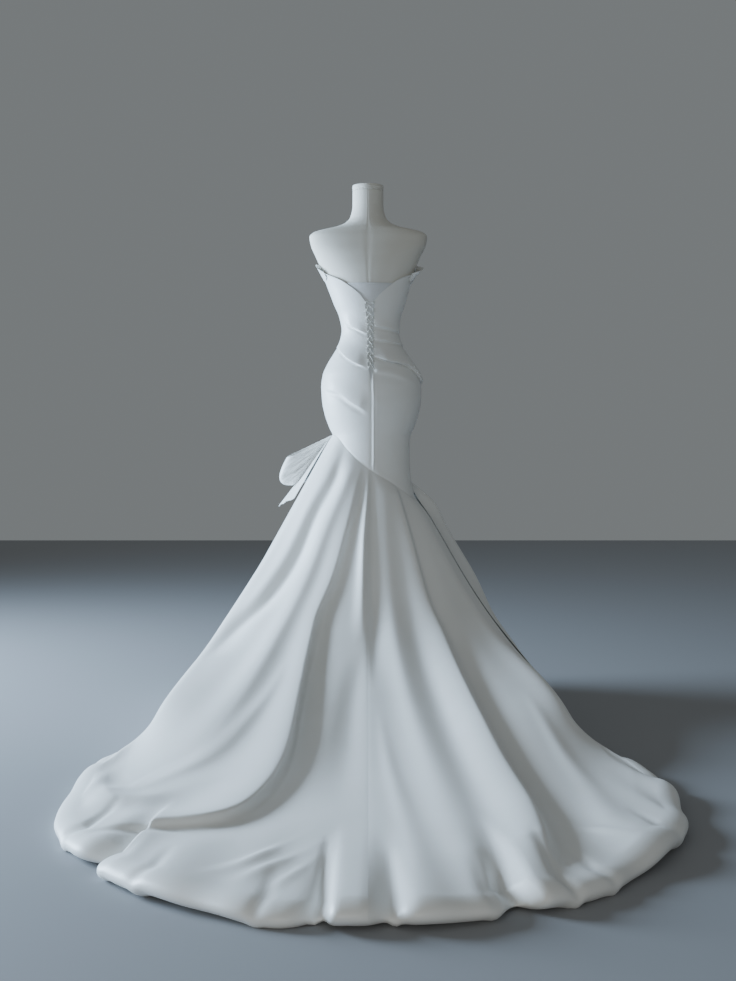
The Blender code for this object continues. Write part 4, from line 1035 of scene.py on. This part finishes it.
# %% The skirt's folds
# Lift at the seam, in the middle and at the hem, reach on the left and right of the line,
# sideways slide, then the line seen from above
SKIRT_FOLDS = (
    (-0.010, -0.026, 0.000, 0.030, 0.045, 0.000, ((-0.077, -0.087), (-0.119, -0.120), (-0.173, -0.147), (-0.239, -0.215), (-0.314, -0.285), (-0.400, -0.350), (-0.473, -0.537))),
    (0.006, 0.018, 0.000, 0.060, 0.040, 0.000, ((-0.060, -0.110), (-0.15, -0.22), (-0.27, -0.50), (-0.36, -0.95), (-0.45, -1.40))),
    (0.005, 0.028, 0.013, 0.075, 0.018, 0.020, ((-0.030, -0.139), (-0.075, -0.215), (-0.108, -0.29), (-0.171, -0.45), (-0.205, -0.79), (-0.217, -1.19), (-0.232, -1.38), (-0.258, -1.53), (-0.295, -1.65), (-0.345, -1.705), (-0.430, -1.725), (-0.560, -1.76))),
    (-0.008, -0.020, -0.006, 0.020, 0.056, 0.000, ((-0.018, -0.139), (-0.050, -0.215), (-0.078, -0.29), (-0.135, -0.45), (-0.168, -0.79), (-0.180, -1.19), (-0.193, -1.38), (-0.216, -1.56), (-0.262, -1.70), (-0.345, -1.765), (-0.450, -1.785))),
    (0.000, 0.000, 0.022, 0.030, 0.060, 0.000, ((-0.20, -1.70), (-0.245, -1.765), (-0.324, -1.815), (-0.43, -1.81), (-0.537, -1.84))),
    (0.000, 0.026, 0.004, 0.045, 0.075, 0.000, ((-0.690, -1.18), (-0.675, -1.36), (-0.618, -1.49), (-0.560, -1.55), (-0.505, -1.545), (-0.430, -1.46))),
    (0.006, 0.016, 0.000, 0.020, 0.016, 0.000, ((-0.001, -0.132), (-0.014, -0.25), (-0.020, -0.54))),
    (-0.004, -0.010, 0.000, 0.018, 0.024, 0.000, ((0.014, -0.135), (0.014, -0.25), (0.020, -0.50), (0.028, -0.80))),
    (0.000, -0.014, 0.000, 0.050, 0.036, 0.000, ((-0.020, -0.56), (-0.045, -0.85), (-0.060, -1.20), (-0.070, -1.65))),
    (0.003, 0.012, 0.006, 0.040, 0.045, 0.000, ((0.052, -0.125), (0.062, -0.30), (0.092, -0.65), (0.165, -1.50), (0.195, -2.10))),
    (0.000, -0.006, -0.006, 0.030, 0.030, 0.000, ((0.075, -0.12), (0.105, -0.24), (0.140, -0.50), (0.215, -1.20), (0.260, -2.00))),
    (0.008, 0.026, 0.028, 0.070, 0.022, 0.010, ((0.086, -0.110), (0.136, -0.238), (0.172, -0.36), (0.208, -0.48), (0.252, -0.80), (0.295, -1.208), (0.330, -1.731), (0.318, -2.11))),
    (-0.004, -0.012, -0.015, 0.026, 0.060, 0.000, ((0.110, -0.095), (0.170, -0.24), (0.215, -0.38), (0.262, -0.52), (0.310, -0.85), (0.350, -1.28), (0.385, -1.75), (0.372, -2.05))),
    (0.002, 0.010, 0.004, 0.050, 0.040, 0.000, ((0.125, -0.040), (0.300, -0.25), (0.420, -0.50), (0.560, -0.95), (0.640, -1.40))),
    (0.002, 0.012, 0.006, 0.050, 0.040, 0.000, ((-0.120, -0.020), (-0.300, -0.12), (-0.460, -0.32), (-0.620, -1.00))),
    (0.004, 0.018, 0.010, 0.035, 0.045, 0.000, ((0.050, 0.110), (0.090, 0.24), (0.130, 0.42))),
    (-0.004, -0.014, -0.006, 0.035, 0.035, 0.000, ((0.000, 0.110), (0.010, 0.24), (0.020, 0.45))),
    (0.004, 0.020, 0.010, 0.040, 0.035, 0.000, ((-0.050, 0.110), (-0.120, 0.22), (-0.190, 0.39))),
    (0.004, 0.018, 0.010, 0.040, 0.040, 0.000, ((-0.100, 0.060), (-0.240, 0.14), (-0.440, 0.16))),
    (-0.004, -0.012, -0.006, 0.035, 0.035, 0.000, ((0.100, 0.060), (0.220, 0.14), (0.420, 0.18))),
    (0.000, 0.007, 0.003, 0.030, 0.022, 0.000, ((-0.24, -0.62), (-0.30, -0.95), (-0.38, -1.25), (-0.50, -1.42))),
    (0.000, 0.005, 0.004, 0.025, 0.030, 0.000, ((0.43, -0.80), (0.47, -1.15), (0.50, -1.50), (0.50, -1.80))),
    (0.000, 0.004, 0.003, 0.020, 0.025, 0.000, ((0.03, -0.90), (0.05, -1.30), (0.08, -1.75), (0.10, -2.15))),
    (0.000, 0.007, 0.000, 0.014, 0.020, 0.000, ((-0.16, -1.88), (-0.23, -2.00), (-0.33, -2.10))),
    (0.000, 0.007, 0.000, 0.014, 0.018, 0.000, ((-0.13, -1.94), (-0.187, -2.03), (-0.25, -2.14))),
    (0.000, 0.006, 0.000, 0.012, 0.016, 0.000, ((-0.11, -2.00), (-0.145, -2.08), (-0.19, -2.17))),
    (0.000, 0.007, 0.000, 0.014, 0.020, 0.000, ((0.44, -1.72), (0.50, -1.80), (0.58, -1.84))),
    (0.000, 0.006, 0.000, 0.012, 0.018, 0.000, ((0.34, -1.98), (0.39, -2.03), (0.46, -2.04))),
)
FOLD_SPREAD = (0.5, 0.9)
# Where the hem is drawn in: azimuth, depth, reach to the left and to the right in degrees
HEM_TUCKS = (
    (-39.0, 0.052, 2.6, 1.0),
    (-20, 0.010, 4.0, 4.0),
    (-5.3, 0.044, 2.8, 0.9),
    (2.1, 0.030, 1.5, 1.7),
    (11, 0.008, 3.0, 3.0),
    (17.9, 0.058, 3.0, 0.8),
    (34, 0.012, 4.0, 4.0),
    (-64, 0.014, 5.0, 5.0),
    (58, 0.012, 5.0, 5.0),
    (150, 0.020, 6.0, 6.0),
    (-150, 0.020, 6.0, 6.0),
)
# Small puckers that run up from the hem: azimuth, depth, reach in degrees, run where they end
PUCKERS = (
    (-48, 0.010, 0.9, 0.80),
    (-37, 0.008, 1.1, 0.82),
    (-30, 0.006, 1.0, 0.84),
    (-13, 0.006, 0.9, 0.83),
    (-6.3, 0.012, 0.6, 0.76),
    (2.7, 0.011, 0.6, 0.79),
    (14, 0.006, 0.9, 0.83),
    (23, 0.010, 0.8, 0.80),
    (29, 0.007, 1.0, 0.82),
    (47, 0.006, 1.2, 0.83),
    (70, 0.006, 1.3, 0.84),
    (-75, 0.006, 1.4, 0.84),
    (-100, 0.007, 1.6, 0.82),
    (98, 0.006, 1.6, 0.82),
    (128, 0.007, 2.2, 0.80),
    (-132, 0.008, 2.4, 0.80),
    (-168, 0.006, 2.0, 0.82),
    (170, 0.007, 2.2, 0.82),
)
HEM_WAVES = ((9, 0.0045, 0.4), (17, 0.0030, 1.9), (31, 0.0018, 4.1))


def skirt_folds(spots):
    """How far the folds lift the skirt's cloth, and how they slide it sideways."""
    lift, slide = np.zeros(len(spots)), np.zeros((len(spots), 2))
    for top, middle, hem, left, right, push, points in SKIRT_FOLDS:
        off, share, across, past = off_line(drawn_line(points), spots)
        half = 0.5 + 0.5 * np.tanh(off / 0.012)
        reach = (left + (right - left) * half) * (FOLD_SPREAD[0] + FOLD_SPREAD[1] * share)
        high = smooth_read((0, 0.45, 1), ((top,), (middle,), (hem,)), share)[:, 0]
        bump = np.exp(-((off / reach) ** 2) - (past / 0.12) ** 2)
        lift += high * bump
        slide += across * (push * bump * np.clip(share / 0.35, 0, 1))[:, None]
    return lift, slide


def skirt_shape(azimuth, run):
    """A point on the skirt's outer face."""
    azimuth = np.asarray(azimuth, float)
    turned = wrapped(azimuth)
    deep = np.zeros(len(turned))
    low = np.clip((run - 0.72) / 0.18, 0, 1) ** 2
    for place, depth, left, right in HEM_TUCKS:
        away = wrapped(turned - place)
        deep += depth * np.exp(-((away / np.where(away < 0, left, right)) ** 2))
    base = skirt_base(azimuth, run)
    out = facing(skirt_base, azimuth, np.clip(run, 0.01, HEM_RUN - 0.02))
    shown = np.clip(run / 0.03, 0, 1) * np.clip((HEM_RUN + 0.02 - run) / 0.10, 0, 1)
    lift, slide = skirt_folds(base[:, :2])
    lift = lift * shown
    for place, depth, reach, begin in PUCKERS:
        near = np.exp(-((wrapped(turned - place) / reach) ** 2))
        lift -= depth * near * np.clip((run - begin) / (1 - begin) / 0.5, 0, 1) * np.clip((1 - run) / 0.04, 0, 1)
    wave = sum(high * np.sin(np.radians(turned * count) + phase) for count, high, phase in HEM_WAVES)
    lift += wave * np.clip((run - 0.74) / 0.14, 0, 1) * np.clip((1 - run) / 0.04, 0, 1)
    lift -= SEAM_PULL * np.exp(-((run / 0.004) ** 2)) * (run > 0.0001)
    side = np.abs(np.abs(turned) - SKIRT_SIDE)
    middle = np.minimum(side, np.abs(turned) + 9 * (run < 0))
    lift -= 0.0003 * np.exp(-((middle / 0.3) ** 2)) * shown
    point = base + out * lift[:, None]
    point[:, :2] += slide * shown[:, None]
    point[:, :2] += hem_inward(azimuth) * (deep * low)[:, None]
    point[:, 2] *= 1 - 0.7 * np.clip(deep / 0.06, 0, 1) * low
    point[:, 2] = np.maximum(point[:, 2], 0.0003)
    return point


print("skirt folds", len(SKIRT_FOLDS), "hem tucks", len(HEM_TUCKS), "puckers", len(PUCKERS))

# %% Lay the skirt


def skirt_between(start, end):
    def domain(u, t):
        rolled = np.clip((t - 0.86) / 0.14, 0, 1)
        run = HEM_RUN * np.clip(t / 0.86, 0, 1) ** 1.05 + (1 - HEM_RUN) * rolled
        edges = []
        for edge, sign in ((start, 1), (end, -1)):
            at = np.full(len(t), float(edge))
            turn = skirt_base(at + 0.5, run) - skirt_base(at - 0.5, run)
            down = skirt_base(at, run + 0.004) - skirt_base(at, run - 0.004)
            down /= np.linalg.norm(down, axis=1)[:, None]
            pace = np.linalg.norm(np.cross(turn, down), axis=1)
            pace = np.maximum(pace, SIDE_PACE * np.linalg.norm(turn, axis=1))
            edges.append(at + sign * 0.0001 / pace)
        return edges[0] + (edges[1] - edges[0]) * u, run

    return domain


SKIRT = (
    ("skirt_back_left", (230, 200), -SKIRT_SIDE, 0),
    ("skirt_back_right", (230, 200), 0, SKIRT_SIDE),
    ("skirt_front", (150, 150), SKIRT_SIDE, 360 - SKIRT_SIDE),
)
for node, size, start, end in SKIRT:
    lay_cloth(node + "_cloth", size, skirt_between(start, end), skirt_shape, [node])

# %% [markdown]
# A loose length of cloth hangs from the seam at the right side. From the back only its free
# edge shows, standing off the skirt. It is laid on the skirt's own points and moved outward,
# further at the free edge, with a ripple that dies out towards the front.

# %% The side drape
# The loose drape at the right side: run, azimuth of its free edge, how far it stands off
DRAPE_ROWS = (
    (0.00, 124, 0.000),
    (0.03, 114, 0.022),
    (0.10, 101, 0.050),
    (0.22, 99, 0.044),
    (0.36, 98, 0.022),
    (0.52, 98, 0.004),
    (0.70, 99, 0.000),
    (0.88, 100, 0.000),
)
DRAPE_END = 158
DRAPE_SEAM = 0.0025
DRAPE_CLEAR = 0.010
DRAPE_RUNS = (0.001, 0.701)
DRAPE_GRID = (12, 11)
DRAPE_RIPPLE = 0.008
DRAPE_WAVE = 34

drape_rows = np.array(DRAPE_ROWS)


def drape_domain(u, t):
    run = DRAPE_RUNS[0] + (DRAPE_RUNS[1] - DRAPE_RUNS[0]) * t
    edge = smooth_read(drape_rows[:, 0], drape_rows[:, 1:2], run)[:, 0]
    return edge + (DRAPE_END - edge) * u**1.2, run


def drape_surface(azimuth, run):
    edge, off = smooth_read(drape_rows[:, 0], drape_rows[:, 1:], run).T
    share = np.clip((azimuth - edge) / (DRAPE_END - edge), 0, 1)
    loose = np.clip(off / 0.03, 0, 1)
    ripple = DRAPE_RIPPLE * np.sin(run * DRAPE_WAVE) * (1 - share) ** 3
    ripple += 0.004 * np.sin(share * 14 + run * 9) * np.sin(share * math.pi)
    clear = DRAPE_SEAM + (DRAPE_CLEAR - DRAPE_SEAM) * np.clip(run / 0.03, 0, 1)
    rolled = 0.005 * np.exp(-((share / 0.02) ** 2)) * loose
    rise = np.clip(share / 0.22, 0, 1)
    bulge = rise * rise * (3 - 2 * rise) * (1 - share) ** 1.2
    lift = clear + 1.35 * off * bulge + ripple * loose * rise - rolled * 0.6
    out = facing(skirt_base, azimuth, np.clip(run, 0.01, HEM_RUN - 0.02))
    return skirt_shape(azimuth, run) + out * lift[:, None]


lay_cloth("side_drape_cloth", (90, 110), drape_domain, drape_surface, ["side_drape"])

# %% [markdown]
# The front neckline is folded over into two pieces that stand up like petals. The back view
# shows only the end of the right one beside the body, in shade.

# %% The folded neckline
# The folded neckline: azimuth, foot and top below and above the bodice's edge, flare
PETAL_ROWS = (
    (66, -0.014, 0.004, 0.003),
    (74, -0.028, 0.010, 0.024),
    (84, -0.032, 0.018, 0.018),
    (100, -0.034, 0.022, 0.006),
    (130, -0.032, 0.024, 0.010),
    (165, -0.030, 0.022, 0.012),
    (180, -0.030, 0.018, 0.010),
)
PETAL_CLEAR = 0.0030
PETAL_LEFT = 0.3
PETAL_RIPPLE = 0.002
PETAL_WAVE = 9
PETAL_SPANS = (("neckline_right", 66.0, 179.8), ("neckline_left", 180.2, 294.0))
PETAL_GRID = (14, 3)

petal_rows = np.array(PETAL_ROWS)


def petal_surface(azimuth, share):
    share = np.clip(share, 0, 1)
    foot, top, flare = smooth_read(petal_rows[:, 0], petal_rows[:, 1:], np.abs(wrapped(azimuth))).T
    flare = np.where(wrapped(azimuth) < 0, flare * PETAL_LEFT, flare)
    height = neck_height(azimuth) + foot + (top - foot) * (1 - share)
    off = BODICE_OUTER + PETAL_CLEAR + flare * (1 - share) ** 1.5
    off = off + PETAL_RIPPLE * (1 - share) * np.sin(np.radians(azimuth * PETAL_WAVE))
    off = off + 0.0012 * np.sin(np.radians(azimuth * 23) + 4 * share) * np.sin(share * math.pi)
    return body_point(azimuth, height, off)


for node, start, end in PETAL_SPANS:
    petal_domain = lambda u, t, start=start, end=end: (start + (end - start) * u, t)
    lay_cloth(node + "_cloth", (150, 24), petal_domain, petal_surface, [node])

# %% [markdown]
# The bow sits on the left hip: a knot, two loops and two tails. A loop is one wide strip that
# goes out and comes back, gathered small at the knot, so its pleats fan out from there.

# %% The bow's sizes
# The bow's knot: azimuth, height, and half sizes outward, across and upward
KNOT_AZIMUTH = -128
KNOT_HEIGHT = 0.872
KNOT_SIZE = (0.015, 0.016, 0.018)
KNOT_CLEAR = 0.0021
# The bow's loops: name, direction it hangs in, direction from one layer to the other,
# where it starts, length and half width
BOW_LOOPS = (
    ("bow_loop_side", (-0.79, -0.10, -0.65), (-0.25, 0.95, 0.06), 0.0152, 0.240, 0.052),
    ("bow_loop_front", (0.50, 0.84, -0.12), (0.85, -0.50, 0.15), 0.0144, 0.200, 0.046),
)
LOOP_OPEN = 5
LOOP_NECK = 0.013
LOOP_BELLY = 0.022
LOOP_APART = 0.003
LOOP_PLEAT = 0.0045
LOOP_WAVE = 9
LOOP_TIP = 0.30
LOOP_GRID = (6, 15)
# The bow's tails: name, azimuth at the knot and at the end, run at the end, half spread,
# and how far they stand off at the knot and at the end
BOW_TAILS = (
    ("bow_tail_side", -99, -98, 0.096, 13, 0.0022, 0.066),
    ("bow_tail_front", -142, -150, 0.230, 16, 0.0027, 0.018),
)
TAIL_START = 0.001
TAIL_LIFT = 0.85
TAIL_SLANT = 0.25
TAIL_NECK = 0.45
TAIL_GRID = (6, 8)


def unit(vector):
    return np.array(vector, float) / np.linalg.norm(vector)



# %% The knot
at = np.array([float(KNOT_AZIMUTH)])
foot = body_point(at, np.array([KNOT_HEIGHT]), BODICE_OUTER)[0]
knot_out = unit((foot[0], foot[1], 0))
KNOT_CENTRE = foot + knot_out * (KNOT_SIZE[0] + KNOT_CLEAR)
axes = np.array([knot_out * KNOT_SIZE[0], np.cross((0, 0, 1), knot_out) * KNOT_SIZE[1], (0, 0, KNOT_SIZE[2])])


def knot_domain(u, t):
    return 360 * u, t


def knot_surface(turn, t):
    """A ball with the creases of cloth pulled round it."""
    around, down = np.radians(turn), t * math.pi
    crease = 1 - 0.05 * (0.5 + 0.5 * np.cos(around * 7 + 2 * down)) * np.sin(down)
    ball = np.stack([np.cos(around) * np.sin(down), np.sin(around) * np.sin(down), np.cos(down)], axis=1)
    return KNOT_CENTRE + (ball * crease[:, None]) @ axes


bm, _, _ = cloth_grid(56, 40, knot_domain, knot_surface)
bmesh.ops.remove_doubles(bm, verts=bm.verts, dist=0.00001)
bmesh.ops.recalc_face_normals(bm, faces=bm.faces)
knot = finish_piece("bow_knot_cloth", bm, satin, ["bow_knot"])
print("knot at", KNOT_CENTRE.round(3))

# %% The loops and tails
for node, axis, apart, start, length, widest in BOW_LOOPS:
    axis = unit(axis)
    apart = unit(np.array(apart) - axis * np.dot(apart, axis))
    across = np.cross(axis, apart)

    def loop_surface(w, s, axis=axis, apart=apart, across=across, sizes=(start, length, widest)):
        start, length, widest = sizes
        turn = np.radians(LOOP_OPEN + (180 - 2 * LOOP_OPEN) * s)
        bulge = np.sin(turn)
        ends = np.sin(np.radians(LOOP_OPEN))
        grown = np.maximum((bulge - ends) / (1 - ends), 0)
        reach = start + (length - start) * grown * (1 - LOOP_TIP * w * w)
        half = LOOP_NECK + (widest - LOOP_NECK) * bulge**1.2
        fan = np.sin(w * LOOP_WAVE) + 0.45 * np.sin(w * 17 + 1.3) + 0.25 * np.sin(w * 27 + 0.5)
        pleat = LOOP_PLEAT * fan * bulge * (1 - 0.75 * bulge**4)
        layer = np.sign(np.cos(turn)) * np.abs(np.cos(turn)) ** 0.3
        off = LOOP_BELLY * np.sin(2 * turn) + LOOP_APART * np.cos(turn) + pleat * layer
        return KNOT_CENTRE + np.outer(reach, axis) + np.outer(off, apart) + np.outer(half * w, across)

    loop_domain = lambda u, t: (2 * u - 1, t)
    lay_cloth(node + "_cloth", (70, 110), loop_domain, loop_surface, [node])
for node, first, last, end, spread, near, far in BOW_TAILS:

    def tail_domain(u, t, first=first, last=last, end=end, spread=spread):
        half = spread * (TAIL_NECK + (1 - TAIL_NECK) * t)
        azimuth = first + (last - first) * t + (u * 2 - 1) * half
        return azimuth, TAIL_START + (end * (1 - TAIL_SLANT * u) - TAIL_START) * t

    def tail_surface(azimuth, run, near=near, far=far, end=end, middle=first):
        lift = near + (far - near) * np.clip(run / end, 0, 1) ** TAIL_LIFT
        turn_back = np.clip((azimuth - middle + 12) / 24, 0, 1)
        lift = near + (lift - near) * (1 - 0.9 * turn_back)
        lift = lift + 0.002 * np.sin(np.radians((azimuth - middle) * 34)) * np.clip(run / end, 0, 1)
        out = facing(skirt_base, azimuth, np.clip(run, 0.01, 0.5))
        return skirt_shape(azimuth, run) + out * lift[:, None]

    lay_cloth(node + "_cloth", (50, 60), tail_domain, tail_surface, [node])
